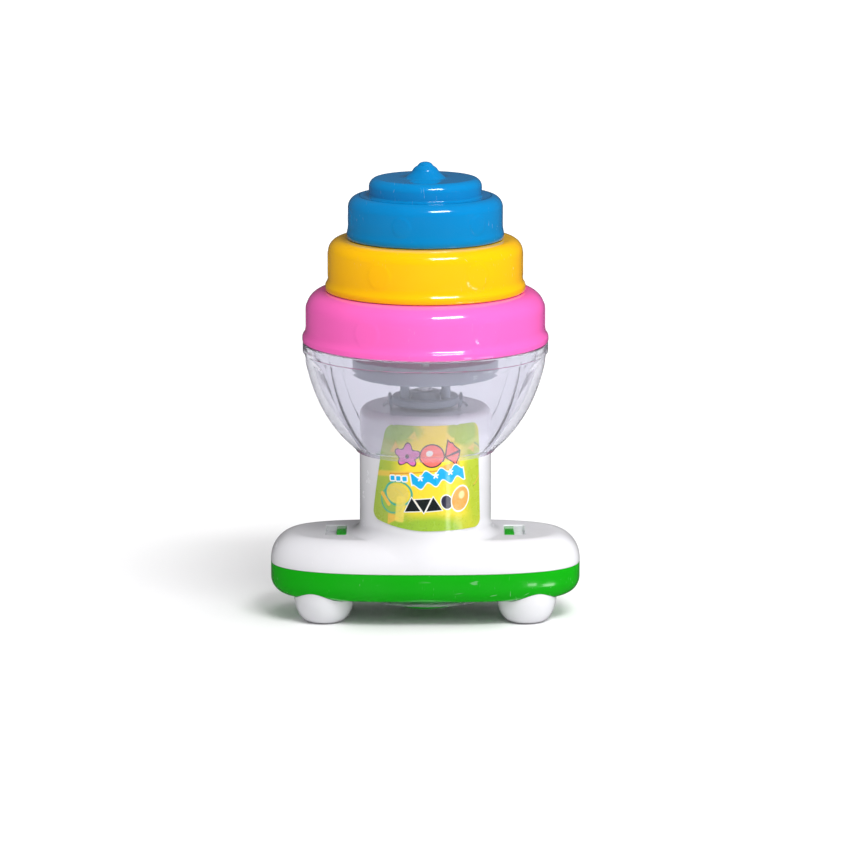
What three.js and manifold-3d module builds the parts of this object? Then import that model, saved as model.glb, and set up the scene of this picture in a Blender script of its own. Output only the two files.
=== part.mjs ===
// A hand-launched spinning top. A T-shaped launcher with a wind-up spindle stands on four feet, and the
// top, three stacked tiers on a clear bowl with a conical spin tip, sits tip up on the launcher's stem.
// Millimetres, +Z up. The origin is on the floor, on the stem's axis. The front faces -Y.

import * as THREE from "three";
import { mergeVertices } from "three/addons/utils/BufferGeometryUtils.js";
import Module from "manifold-3d";

const wasm = await Module();
wasm.setup();

// ---- Driving dimensions -------------------------------------------------------------------------------

const GAP = 0.3; // between pieces that touch on the real toy
const WALL = 1.8; // moulded plastic wall
const EXTRA = 1; // how far a cutting tool runs past the face that it opens

// Handle: a pillow-shaped case on a superellipse plan, white above the split and green below it
const HANDLE = { halfX: 42.5, halfY: 20.5, power: 2.7, bottom: 6.8, split: 15.3, top: 23.4 };
const COVER_ROUND = 7.6;
const TRAY_ROUND = 4.4;
const PLAN_STEPS = 32;
const EDGE_STEPS = 3;
const DECK_UNDER = HANDLE.top - WALL;
const FLOOR_TOP = HANDLE.bottom + WALL;
const LIP = { low: HANDLE.split - 2, bandTop: HANDLE.split - 1, high: HANDLE.split + 1 };

// Stem, with a fillet at its foot that is trimmed where the deck runs out, at the front and the back
const STEM = { r: 18, top: 58.6, fillet: 3, filletInset: 0.9, endRound: 1.2 };
const STEM_BORE_R = STEM.r - WALL;
const STEM_STEPS = 32; // facets round the stem and its label, which line up
const LABEL = { low: 27, high: 55.8, clear: 0.12, thick: 0.15, facets: 10, lean: 6 };
const SPRING_RIB = { halfWidth: 0.9, low: 24, high: 40 };

// Feet, and the spigots that hold them in the tray
const FOOT = { r: 8.2, x: 27.7, y: 8.6, flatR: 4, round: 3.4, roundInset: 0.5, wallFrom: 5, top: 13 };
const SPIGOT = { r: 2.6, low: 5, top: 10 };

// Windows in the cover, each with a shelf on its inner side that a snap hook of the tray catches
const WINDOW = { inner: 21.7, outer: 27.3, halfY: 6.2, shelfX: 22.9, shelfTop: 22.3, low: 20 };
const HOOK = { inner: 23.2, outer: 24.8, halfY: 5.6, top: 23.2 };

// Screws
const CASE_SCREW = { headR: 2.3, headHeight: 1.3, shankR: 1.2, length: 10.4 };
const BRIDGE_SCREW = { headR: 2.1, headHeight: 1.3, shankR: 1.1, length: 5.6 };
const PLATE_SCREW = { headR: 2.5, headHeight: 1.3, shankR: 1.2, length: 12 };
const TIE_SCREW = { headR: 3, headHeight: 1.8, shankR: 1.5, top: 112 };
const CASE_SCREW_X = 34.5;
const BRIDGE_SCREW_X = 18.2;
const CASE_BOSS = { r: 3, standoffR: 3.4, low: 12.6, holeTop: 19.8 };
const BRIDGE_BOSS = { r: 2.6, holeTop: 21 };

// Release button and the clear bezel round it
const BUTTON = { r: 10.4, bottom: 2.9, rimZ: 5.6, flangeR: 13.6, flangeLow: FLOOR_TOP + GAP, flange: 1 };
const BUTTON_ROOM = { edge: 7.6, middle: 7.2 }; // the cup that the spring stands in
const BEZEL = { innerR: 11.1, innerZ: 5.6, dishR: 13.5, dishZ: 5.2, outerR: 19, seatR: 16.5 };
const BEZEL_LIP = { low: 4.8, high: 5.7, inset: 0.5, rise: 0.4 };

// Spindle and its bearings
const SHAFT = { r: 2, low: 14.2, top: 69.3, chamfer: 0.4, nose: 1 };
const BUSH_BORE = SHAFT.r + GAP;
const BRIDGE = { low: 15.2, top: 17, halfX: 11, halfY: 9.5, armHalfY: 5, holeR: 4, endX: 21.2 };
const LOWER_BUSH = { low: 14.9, top: 18.1, r: 3.7, flangeR: 4.6, flangeLow: 17.3 };
const UPPER_BUSH = { r: 3.7, flangeR: 5.2, flange: 0.8, proud: 0.2, holeR: 4 };
const CLIP = { low: 53.9, top: 54.6, r: 4, grooveR: 1.5, mouth: 1.3 };
const WHEEL = { low: 18.4, top: 21, tipR: 7.5, rootR: 6.2, teeth: 12, phase: -12, back: 2 };
const ARBOR = { r: 3.6, top: 36 };
const MAINSPRING = { innerR: 4.2, outerR: 13.2, thickness: 0.5, turns: 4, low: 25.5, high: 34.5 };
const HEAD = { r: 9.6, low: STEM.top + 0.6, top: STEM.top + 2.6, chamfer: 0.4, hubR: 4, hubHeight: 1.4 };
const PEG = { r: 1.3, ringR: 6.5, count: 3, firstTurn: 90, below: 0.4 };

// Latch, which turns about a pin on the bridge. Its nose holds the ratchet wheel, and its tail meets the
// button's wedge.
const PIVOT = [10.5, -8];
const LATCH = { low: 18.5, top: 20.9, hubR: 2.4, boreR: 1.3, noseArm: 0.9, tailArm: 1 };
const NOSE = { r: 8.6, turn: -4 };
const LATCH_TOOTH = { innerR: 6.7, heelR: 7.3, from: 2, to: 14, slant: 1 }; // degrees past a wheel tooth
const TAIL = { length: 8, turn: 200 };
const LATCH_PIN = { r: 1, low: 14.6, top: 21.3 };
const WEDGE = { inner: -10, outer: -13, faceLow: 16.5, faceTop: 19.1, tipY: -12.6, width: 3 };

// The top
const BOWL = { neckR: 18.55, bottom: 46.2, topR: 33.5, shoulder: 73.3, rim: 76.2, wall: 2.1 };
const FLUTES = 10;
const FLUTE_DEPTH = 0.7;
const TIER_STEPS = 32;
const BRIM = { inset: 0.3, edge: 0.4, low: 1.3, high: 3.2 }; // heights above the tier's lower edge
const PINK = { brimR: 33.6, wallR: 32.6, bottom: 76.5, top: 90.4, shoulder: 5 };
const YELLOW = { brimR: 27.3, wallR: 26.55, bottom: 90.7, top: 104.6, shoulder: 3.6 };
const BLUE = { brimR: 21.4, wallR: 21.05, bottom: 104.9, top: 116.4, shoulder: 3.2 };
const BLUE_STEP = { r: 15.35, top: 121.2, shoulder: 2.4 };
const TIP = { baseR: 5.6, shoulderR: 2.8, shoulderZ: 123.3, roundR: 1.5, top: 125.5 };
const PLATE = { r: 20, low: 67.2, top: 71.7, chamfer: 0.6, screwRingR: 15, screws: 3, sinkR: 2.9, sink: 2 };
const PLATE_BOSS = { r: 3.2, holeTop: 82 };
const TIE_BOSS = { r: 3.6, holeR: 1.8 };

// ---- Materials ------------------------------------------------------------------------------------------

const plastic = (color, roughness = 0.3) => new THREE.MeshStandardMaterial({ color, roughness, metalness: 0 });
const WHITE = plastic(0xf0f0f4, 0.35);
const GREEN = plastic(0x08b010, 0.28);
const PINK_GLOSS = plastic(0xff69cd);
const YELLOW_GLOSS = plastic(0xffcd0f);
const BLUE_GLOSS = plastic(0x0090d8);
const GREY = plastic(0x8f99a5, 0.45);
const PRINTED_FILM = plastic(0xb8d010, 0.35);
const STEEL = new THREE.MeshStandardMaterial({ color: 0xb8bcc2, roughness: 0.35, metalness: 1 });
const CLEAR = new THREE.MeshStandardMaterial({
  color: 0xe8ecf8,
  roughness: 0.08,
  metalness: 0,
  transparent: true,
  opacity: 0.35,
});

// ---- Solid helpers --------------------------------------------------------------------------------------

const radians = THREE.MathUtils.degToRad;
const polar = (r, degrees) => [r * Math.cos(radians(degrees)), r * Math.sin(radians(degrees))];
const places = (count, r, firstTurn) =>
  Array.from({ length: count }, (_, i) => polar(r, firstTurn + (360 / count) * i));

// A closed three.js geometry as a manifold solid, turned right side out if its faces point inwards.
function solid(geometry) {
  const plain = geometry.index ? geometry.toNonIndexed() : geometry.clone();
  plain.deleteAttribute("normal");
  plain.deleteAttribute("uv");
  const merged = mergeVertices(plain, 1e-4);
  const vertProperties = new Float32Array(merged.attributes.position.array);
  const triVerts = new Uint32Array(merged.index.array);
  const made = new wasm.Manifold(new wasm.Mesh({ numProp: 3, vertProperties, triVerts }));
  if (made.volume() >= 0) return made;
  return new wasm.Manifold(new wasm.Mesh({ numProp: 3, vertProperties, triVerts: triVerts.reverse() }));
}

const join = (...solids) => solids.reduce((whole, piece) => whole.add(piece));
const cut = (body, ...tools) => tools.reduce((left, tool) => left.subtract(tool), body);

// A manifold solid as a named three.js mesh.
function meshOf(name, made, material) {
  const raw = made.getMesh();
  const geometry = new THREE.BufferGeometry();
  geometry.setAttribute("position", new THREE.BufferAttribute(new Float32Array(raw.vertProperties), 3));
  geometry.setIndex(new THREE.BufferAttribute(new Uint32Array(raw.triVerts), 1));
  geometry.computeVertexNormals();
  const mesh = new THREE.Mesh(geometry, material);
  mesh.name = name;
  return mesh;
}

// A profile of [radius, height] points turned about +Z. It starts and ends on the axis.
function turned(points, steps) {
  const profile = points.map(([r, z]) => new THREE.Vector2(r, z));
  return new THREE.LatheGeometry(profile, steps).rotateX(Math.PI / 2);
}

// The same for a profile that comes back to its own start, such as a ring's.
const turnedRing = (points, steps) => solid(turned([...points, points[0]], steps));

const rod = (r, low, high, steps = 20, [x, y] = [0, 0]) =>
  solid(turned([[0, low], [r, low], [r, high], [0, high]], steps).translate(x, y, 0));

const ring = (inner, outer, low, high, steps = 24) =>
  turnedRing([[inner, low], [outer, low], [outer, high], [inner, high]], steps);

const block = ([x0, x1], [y0, y1], [z0, z1]) =>
  solid(
    new THREE.BoxGeometry(x1 - x0, y1 - y0, z1 - z0).translate((x0 + x1) / 2, (y0 + y1) / 2, (z0 + z1) / 2),
  );

const shapeOf = (points) => new THREE.Shape(points.map(([x, y]) => new THREE.Vector2(x, y)));

function prism(points, low, high) {
  const geometry = new THREE.ExtrudeGeometry(shapeOf(points), { depth: high - low, bevelEnabled: false });
  return solid(geometry.translate(0, 0, low));
}

// A flat bar with round ends, from one point to another.
function bar(from, to, halfWidth, low, high) {
  const [dx, dy] = [to[0] - from[0], to[1] - from[1]];
  const shaft = new THREE.BoxGeometry(Math.hypot(dx, dy), 2 * halfWidth, high - low)
    .rotateZ(Math.atan2(dy, dx))
    .translate((from[0] + to[0]) / 2, (from[1] + to[1]) / 2, (low + high) / 2);
  return join(solid(shaft), rod(halfWidth, low, high, 12, from), rod(halfWidth, low, high, 12, to));
}

// Points of an arc in a profile: centre, radius, and the angles that it runs between.
function arc([r, z], radius, from, to, steps, radiusZ = radius) {
  return Array.from({ length: steps + 1 }, (_, i) => {
    const turn = radians(from + ((to - from) * i) / steps);
    return [r + radius * Math.cos(turn), z + radiusZ * Math.sin(turn)];
  });
}

class Helix extends THREE.Curve {
  constructor(radius, low, high, turns) {
    super();
    Object.assign(this, { radius, low, high, turns });
  }
  getPoint(t) {
    const [x, y] = polar(this.radius, 360 * this.turns * t);
    return new THREE.Vector3(x, y, this.low + (this.high - this.low) * t);
  }
}

function coilSpring(radius, wireR, low, high, turns) {
  const wire = shapeOf(places(5, wireR, 0));
  const extrudePath = new Helix(radius, low + wireR, high - wireR, turns);
  return solid(new THREE.ExtrudeGeometry(wire, { extrudePath, steps: turns * 10 }));
}

// A pan-head screw with its shank upwards and the underside of its head at z `seat`.
function screw([x, y], seat, { headR, headHeight, shankR, length }) {
  const bottom = seat - headHeight;
  const head = [[0, bottom], [headR * 0.8, bottom], [headR, bottom + headHeight * 0.4], [headR, seat]];
  const shank = [[shankR, seat], [shankR, seat + length - shankR], [0, seat + length]];
  const [long, wide] = [headR * 0.55, headR * 0.14];
  const depth = [bottom - EXTRA, bottom + headHeight * 0.55];
  const cross = join(block([-long, long], [-wide, wide], depth), block([-wide, wide], [-long, long], depth));
  return cut(solid(turned([...head, ...shank], 8)), cross).translate([x, y, 0]);
}

// ---- Handle case ----------------------------------------------------------------------------------------

const sides = [-1, 1];
const mirrored = (inner, outer, side) => [inner * side, outer * side].sort((a, b) => a - b);

// The case's plan, moved in by `inset`.
function plan(inset = 0) {
  const swell = (value) => Math.sign(value) * Math.abs(value) ** (2 / HANDLE.power);
  return places(PLAN_STEPS, 1, 0).map(([x, y]) => [
    (HANDLE.halfX - inset) * swell(x),
    (HANDLE.halfY - inset) * swell(y),
  ]);
}

// A pillow on that plan, with both edges rounded.
function pillow(inset, low, high, round) {
  const geometry = new THREE.ExtrudeGeometry(shapeOf(plan(inset)), {
    depth: high - low - 2 * round,
    bevelThickness: round,
    bevelSize: round,
    bevelOffset: -round,
    bevelSegments: EDGE_STEPS,
  });
  return solid(geometry.translate(0, 0, low + round));
}

const across = [-HANDLE.halfX - EXTRA, HANDLE.halfX + EXTRA];
const above = (z) => block(across, across, [z, STEM.top + EXTRA]);
const below = (z) => block(across, across, [-STEM.top, z]);

function handleCover() {
  const height = 2 * (HANDLE.top - HANDLE.split);
  const shell = cut(pillow(0, HANDLE.top - height, HANDLE.top, COVER_ROUND), below(HANDLE.split + GAP / 2));
  const foot = HANDLE.split + EXTRA; // the stem reaches down into the shell's rounded front and back
  const end = arc([STEM.r - STEM.endRound, STEM.top - STEM.endRound], STEM.endRound, 0, 90, 2);
  const stem = solid(turned([[0, foot], [STEM.r, foot], ...end, [0, STEM.top]], STEM_STEPS));
  const centre = [STEM.r + STEM.fillet, HANDLE.top + STEM.fillet];
  const curve = arc(centre, STEM.fillet, 270, 180, 3);
  const fillet = turnedRing(
    [[STEM_BORE_R, foot], [centre[0], foot], ...curve, [STEM_BORE_R, centre[1]]],
    STEM_STEPS,
  ).intersect(prism(plan(STEM.filletInset), HANDLE.split, STEM.top));
  const room = pillow(WALL, DECK_UNDER - height, DECK_UNDER, COVER_ROUND - WALL);
  const bore = rod(STEM_BORE_R, HANDLE.split - EXTRA, STEM.top - WALL, STEM_STEPS);
  const bushHole = rod(UPPER_BUSH.holeR, STEM.top - WALL - EXTRA, STEM.top + EXTRA);
  const rib = block(
    [STEM_BORE_R - WALL, STEM_BORE_R + WALL / 2],
    [-SPRING_RIB.halfWidth, SPRING_RIB.halfWidth],
    [SPRING_RIB.low, SPRING_RIB.high],
  );
  let body = join(cut(join(shell, stem, fillet), room, bore, bushHole), rib);
  for (const side of sides) {
    const caseAt = [side * CASE_SCREW_X, 0];
    const bridgeAt = [side * BRIDGE_SCREW_X, 0];
    const window = [-WINDOW.halfY, WINDOW.halfY];
    body = cut(
      join(
        body,
        rod(CASE_BOSS.r, CASE_BOSS.low, DECK_UNDER + WALL / 2, 12, caseAt),
        rod(BRIDGE_BOSS.r, BRIDGE.top + GAP, DECK_UNDER + WALL / 2, 12, bridgeAt),
      ),
      rod(CASE_SCREW.shankR + GAP, CASE_BOSS.low - EXTRA, CASE_BOSS.holeTop, 8, caseAt),
      rod(BRIDGE_SCREW.shankR + GAP, BRIDGE.top, BRIDGE_BOSS.holeTop, 8, bridgeAt),
      block(mirrored(WINDOW.inner, WINDOW.outer, side), window, [WINDOW.shelfTop, HANDLE.top + EXTRA]),
      block(mirrored(WINDOW.shelfX, WINDOW.outer, side), window, [WINDOW.low, HANDLE.top]),
    );
  }
  return body;
}

function handleTray() {
  const height = 2 * (HANDLE.split - HANDLE.bottom);
  const shell = pillow(0, HANDLE.bottom, HANDLE.bottom + height, TRAY_ROUND);
  const room = pillow(WALL, FLOOR_TOP, FLOOR_TOP + height, TRAY_ROUND - WALL);
  const lower = cut(shell, room, above(HANDLE.split - GAP / 2));

  // a lip inside the split, which the cover drops over, on a band that joins it to the tray's wall
  const lip = prism(plan(WALL + GAP), LIP.low, LIP.high);
  const band = prism(plan(WALL - GAP), LIP.low, LIP.bandTop);
  const inside = prism(plan(2 * WALL), LIP.low - EXTRA, LIP.high + EXTRA);
  let body = join(lower, cut(join(lip, band), inside));
  for (const side of sides) {
    const caseAt = [side * CASE_SCREW_X, 0];
    const hook = [-HOOK.halfY, HOOK.halfY];
    const nub = mirrored(WINDOW.inner + GAP, HOOK.outer, side);
    body = cut(
      join(
        body,
        block(mirrored(HOOK.inner, HOOK.outer, side), hook, [FLOOR_TOP - WALL / 2, HOOK.top]),
        block(nub, hook, [WINDOW.shelfTop + GAP, HOOK.top]),
        rod(CASE_BOSS.standoffR, FLOOR_TOP - WALL / 2, CASE_BOSS.low - GAP, 12, caseAt),
      ),
      rod(CASE_SCREW.shankR + GAP, HANDLE.bottom - EXTRA, CASE_BOSS.low + EXTRA, 8, caseAt),
      rod(CASE_SCREW.headR + GAP, HANDLE.bottom - EXTRA, FLOOR_TOP + GAP, 10, caseAt),
    );
    for (const end of sides) {
      const hole = rod(SPIGOT.r + GAP, HANDLE.bottom - EXTRA, SPIGOT.top, 8, [side * FOOT.x, end * FOOT.y]);
      body = cut(body, hole);
    }
  }
  return cut(body, rod(BUTTON.r + GAP, HANDLE.bottom - EXTRA, FLOOR_TOP + EXTRA, 20));
}

// A foot is a cap that follows the tray's rounded underside, with a spigot through the tray's floor.
function foot(x, y) {
  const roundCentre = [FOOT.r - FOOT.roundInset - FOOT.round, FOOT.round];
  const profile = [
    [0, 0],
    [FOOT.flatR, 0],
    ...arc(roundCentre, FOOT.round, 290, 350, 2),
    [FOOT.r, FOOT.wallFrom],
    [FOOT.r, FOOT.top],
    [0, FOOT.top],
  ];
  const cap = solid(turned(profile, 16).translate(x, y, 0));
  const tray = pillow(-GAP, HANDLE.bottom - GAP, HANDLE.split + EXTRA + TRAY_ROUND, TRAY_ROUND + GAP);
  return join(cut(cap, tray), rod(SPIGOT.r, SPIGOT.low, SPIGOT.top, 8, [x, y]));
}

function buttonBezel() {
  const { innerR, innerZ, dishR, dishZ, outerR, seatR } = BEZEL;
  const { low, high, inset, rise } = BEZEL_LIP;
  const top = HANDLE.bottom - GAP;
  const edge = [[outerR - inset, low], [outerR, low + rise], [outerR, high]];
  return turnedRing([[innerR, top], [innerR, innerZ], [dishR, dishZ], ...edge, [seatR, top]], 24);
}

// The label follows the stem's facets. Its left edge leans in towards the top.
function stemLabel() {
  const { low, high, clear, thick, facets, lean } = LABEL;
  const facet = 360 / STEM_STEPS;
  const turns = Array.from({ length: facets + 1 }, (_, i) => 270 + facet * (i - facets / 2));
  const inner = turns.map((turn) => polar(STEM.r + clear, turn));
  const outer = turns.map((turn) => polar(STEM.r + clear + thick, turn)).reverse();
  const edge = new THREE.BoxGeometry(10, 2 * STEM.r, 2 * STEM.r)
    .rotateY(radians(lean))
    .translate(-STEM.r, -STEM.r, (low + high) / 2 + STEM.r / 2);
  return cut(prism([...inner, ...outer], low, high), solid(edge));
}

// ---- Bearings and spindle -------------------------------------------------------------------------------

function bearingBridge() {
  const span = [BRIDGE.low, BRIDGE.top];
  const through = [BRIDGE.low - EXTRA, BRIDGE.top + EXTRA];
  const plate = join(
    block([-BRIDGE.endX, BRIDGE.endX], [-BRIDGE.armHalfY, BRIDGE.armHalfY], span),
    block([-BRIDGE.halfX, BRIDGE.halfX], [-BRIDGE.halfY, BRIDGE.halfY], span),
    rod(LATCH.hubR, ...span, 16, PIVOT),
  );
  const screwHoles = sides.map((side) =>
    rod(BRIDGE_SCREW.shankR + GAP, ...through, 12, [side * BRIDGE_SCREW_X, 0]),
  );
  const pinHole = rod(LATCH_PIN.r + GAP, ...through, 12, PIVOT);
  return cut(plate, rod(BRIDGE.holeR, ...through), pinHole, ...screwHoles);
}

function lowerBush() {
  const { low, top, r, flangeR, flangeLow } = LOWER_BUSH;
  return turnedRing(
    [[BUSH_BORE, low], [r, low], [r, flangeLow], [flangeR, flangeLow], [flangeR, top], [BUSH_BORE, top]],
    20,
  );
}

function upperBush() {
  const { r, flangeR, flange, proud } = UPPER_BUSH;
  const seat = STEM.top - WALL - GAP;
  const end = STEM.top + proud;
  const low = seat - flange;
  const outside = [[flangeR, low], [flangeR, seat], [r, seat], [r, end]];
  return turnedRing([[BUSH_BORE, low], ...outside, [BUSH_BORE, end]], 20);
}

// The shaft has a groove for the clip, which sits under the upper bush.
function spindleShaft() {
  const { r, low, top, chamfer, nose } = SHAFT;
  const groove = [CLIP.low - GAP, CLIP.top + GAP];
  return solid(
    turned(
      [
        [0, low], [r - chamfer, low], [r, low + chamfer],
        [r, groove[0]], [CLIP.grooveR, groove[0]], [CLIP.grooveR, groove[1]], [r, groove[1]],
        [r, top - nose], [r - nose, top], [0, top],
      ],
      20,
    ),
  );
}

function retainingClip() {
  const mouth = block([0, CLIP.r + EXTRA], [-CLIP.mouth, CLIP.mouth], [CLIP.low - EXTRA, CLIP.top + EXTRA]);
  return cut(ring(CLIP.grooveR + GAP, CLIP.r, CLIP.low, CLIP.top), mouth);
}

// Twelve saw teeth, so that each quarter turn looks like the rest position, and the spring's arbor above.
function ratchetWheel() {
  const { low, top, tipR, rootR, teeth, phase, back } = WHEEL;
  const pitch = 360 / teeth;
  const starts = Array.from({ length: teeth }, (_, i) => phase + i * pitch);
  const outline = starts.flatMap((start) => [polar(rootR, start), polar(tipR, start + pitch - back)]);
  const wheel = join(prism(outline, low, top), rod(ARBOR.r, low, ARBOR.top));
  return cut(wheel, rod(BUSH_BORE, low - EXTRA, ARBOR.top + EXTRA));
}

// A flat steel strip wound from the arbor out to the rib in the stem.
function windingSpring() {
  const { innerR, outerR, thickness, turns, low, high } = MAINSPRING;
  const steps = turns * 14;
  const at = (i, offset) => polar(innerR + offset + ((outerR - innerR) * i) / steps, (360 * turns * i) / steps);
  const inner = Array.from({ length: steps + 1 }, (_, i) => at(i, 0));
  const outer = Array.from({ length: steps + 1 }, (_, i) => at(i, thickness)).reverse();
  return prism([...inner, ...outer], low, high);
}

function driveHead() {
  const { r, low, top, chamfer, hubR, hubHeight } = HEAD;
  const pegs = places(PEG.count, PEG.ringR, PEG.firstTurn).map((at) =>
    rod(PEG.r, (low + top) / 2, SHAFT.top - PEG.below, 8, at),
  );
  const rim = [[r - chamfer, low], [r, low + chamfer], [r, top - chamfer], [r - chamfer, top]];
  const hub = [[hubR, top], [hubR, top + hubHeight], [0, top + hubHeight]];
  const disc = solid(turned([[0, low], ...rim, ...hub], 24));
  return cut(join(disc, ...pegs), rod(BUSH_BORE, low - EXTRA, top + hubHeight + EXTRA, 16));
}

// ---- Button and latch -----------------------------------------------------------------------------------

const tailEnd = polar(TAIL.length, TAIL.turn).map((offset, i) => PIVOT[i] + offset);

// The wedge's 45 degree face lies just clear of the latch's tail and pushes it inwards as the button rises.
function releaseButton() {
  const { r, bottom, rimZ, flangeR, flangeLow, flange } = BUTTON;
  const flangeTop = flangeLow + flange;
  const profile = [
    [0, bottom],
    ...arc([0, rimZ], r, 290, 345, 3, rimZ - bottom),
    [r, rimZ + GAP],
    [r, flangeLow], [flangeR, flangeLow], [flangeR, flangeTop],
    [r - WALL, flangeTop], [r - WALL, BUTTON_ROOM.edge], [0, BUTTON_ROOM.middle],
  ];
  const { inner, outer, faceLow, faceTop, tipY, width } = WEDGE;
  const face = [[tipY, faceTop], [inner, faceLow]];
  const side = shapeOf([[inner, flangeLow], [outer, flangeLow], [outer, faceTop], ...face]);
  const wedge = new THREE.ExtrudeGeometry(side, { depth: width, bevelEnabled: false })
    .rotateZ(Math.PI / 2)
    .rotateY(Math.PI / 2)
    .translate(tailEnd[0] - width / 2, 0, 0);
  return join(solid(turned(profile, 20)), solid(wedge));
}

function latchLever() {
  const span = [LATCH.low, LATCH.top];
  const { innerR, heelR, from, to, slant } = LATCH_TOOTH;
  const tooth = [
    polar(innerR, WHEEL.phase + from + slant),
    polar(NOSE.r, WHEEL.phase + from),
    polar(NOSE.r, WHEEL.phase + to),
    polar(heelR, WHEEL.phase + to - slant),
  ];
  const body = join(
    rod(LATCH.hubR, ...span, 16, PIVOT),
    bar(PIVOT, polar(NOSE.r, NOSE.turn), LATCH.noseArm, ...span),
    bar(PIVOT, tailEnd, LATCH.tailArm, ...span),
    prism(tooth, ...span),
  );
  return cut(body, rod(LATCH.boreR, LATCH.low - EXTRA, LATCH.top + EXTRA, 12, PIVOT));
}

// ---- The top --------------------------------------------------------------------------------------------

// The bowl's outer profile from its neck up to its shoulder, or the same moved in by its wall.
function bowlProfile(inset) {
  const curve = new THREE.CubicBezierCurve(
    new THREE.Vector2(BOWL.neckR + 0.9 - inset * 0.4, BOWL.bottom + 0.6 + inset),
    new THREE.Vector2(25.4 - inset, 51.8 + inset * 0.4),
    new THREE.Vector2(31.1 - inset, 60.2),
    new THREE.Vector2(BOWL.topR - inset, BOWL.shoulder),
  );
  return curve.getPoints(5).map((point) => [point.x, point.y]);
}

// Lobes between ten upright creases, which fade out at the rim and at the neck.
function clearDome() {
  const inner = bowlProfile(BOWL.wall).reverse();
  const profile = [
    [BOWL.neckR, BOWL.bottom],
    [BOWL.neckR + 0.5, BOWL.bottom],
    ...bowlProfile(0),
    [BOWL.topR, BOWL.rim],
    [BOWL.topR - BOWL.wall, BOWL.rim],
    ...inner,
    [BOWL.neckR, inner.at(-1)[1] - 0.4],
  ];
  const geometry = turned([...profile, profile[0]], FLUTES * 4);
  const position = geometry.attributes.position;
  const low = BOWL.bottom + 2;
  for (let i = 0; i < position.count; i += 1) {
    const [x, y, z] = [position.getX(i), position.getY(i), position.getZ(i)];
    const fade = z < low || z > BOWL.shoulder ? 0 : Math.sin((Math.PI * (z - low)) / (BOWL.shoulder - low));
    const crease = Math.abs(Math.sin((FLUTES / 2) * Math.atan2(x, -y))) ** 6;
    const shrink = 1 - (FLUTE_DEPTH * fade * crease) / Math.hypot(x, y);
    position.setXY(i, x * shrink, y * shrink);
  }
  return solid(geometry);
}

// One tier: an upturned cup with a rounded shoulder and a slightly flared brim, open at the bottom.
function tierOutside({ brimR, wallR, bottom, top, shoulder }) {
  return [
    [brimR - BRIM.inset, bottom],
    [brimR, bottom + BRIM.edge],
    [brimR, bottom + BRIM.low],
    [wallR, bottom + BRIM.high],
    ...arc([wallR - shoulder, top - shoulder], shoulder, 0, 90, 3),
  ];
}

function tierInside({ wallR, bottom, top, shoulder }) {
  const r = wallR - WALL;
  return [[r - shoulder / 2, top - WALL], [r, top - WALL - shoulder / 2], [r, bottom]];
}

function openTier(tier) {
  const roof = [[TIE_BOSS.holeR, tier.top], [TIE_BOSS.holeR, tier.top - WALL]];
  return turnedRing([...tierOutside(tier), ...roof, ...tierInside(tier)], TIER_STEPS);
}

const plateScrewPlaces = places(PLATE.screws, PLATE.screwRingR, 30);

function pinkTier() {
  const low = PLATE.top + GAP;
  const bosses = plateScrewPlaces.map((at) => rod(PLATE_BOSS.r, low, PINK.top - WALL / 2, 12, at));
  const pilotR = PLATE_SCREW.shankR + GAP;
  const pilots = plateScrewPlaces.map((at) => rod(pilotR, low - EXTRA, PLATE_BOSS.holeTop, 10, at));
  return cut(join(openTier(PINK), ...bosses), ...pilots);
}

// The blue tier has a second, smaller step and the spin tip, in one piece.
function blueTier() {
  const { r, top, shoulder } = BLUE_STEP;
  const outside = [
    ...tierOutside(BLUE),
    [r, BLUE.top],
    ...arc([r - shoulder, top - shoulder], shoulder, 0, 90, 2),
    [TIP.baseR, top],
    [TIP.shoulderR, TIP.shoulderZ],
    ...arc([0, TIP.top - TIP.roundR], TIP.roundR, 35, 90, 2),
  ];
  const stepR = r - WALL;
  const underside = [[0, top - WALL], [stepR, top - WALL], [stepR, BLUE.top - WALL], ...tierInside(BLUE)];
  const shell = solid(turned([...outside, ...underside, outside[0]], TIER_STEPS));
  const boss = rod(TIE_BOSS.r, BLUE.bottom + 2 * GAP, top - WALL / 2, 12);
  return cut(join(shell, boss), rod(TIE_BOSS.holeR, BLUE.bottom - EXTRA, TIE_SCREW.top + EXTRA, 12));
}

function catchPlate() {
  const { r, low, top, chamfer, sinkR, sink } = PLATE;
  const through = [low - EXTRA, top + EXTRA];
  const rim = [[r - chamfer, low], [r, low + chamfer], [r, top]];
  const disc = solid(turned([[0, low], ...rim, [0, top]], TIER_STEPS));
  const pegHoles = places(PEG.count, PEG.ringR, PEG.firstTurn).map((at) => rod(PEG.r + 0.4, ...through, 8, at));
  const screwHoles = plateScrewPlaces.flatMap((at) => [
    rod(PLATE_SCREW.shankR + GAP, ...through, 8, at),
    rod(sinkR, low - EXTRA, low + sink, 10, at),
  ]);
  return cut(disc, rod(SHAFT.r + 2 * GAP, ...through, 16), ...pegHoles, ...screwHoles);
}

// ---- Assembly -------------------------------------------------------------------------------------------

const buttonSpring = coilSpring(6, 0.3, BUTTON_ROOM.edge + 0.4, BRIDGE.low - GAP, 3);
const latchSpring = coilSpring(1.8, 0.2, BRIDGE.top + 0.1, LATCH.low - 0.1, 2).translate([...PIVOT, 0]);

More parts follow.
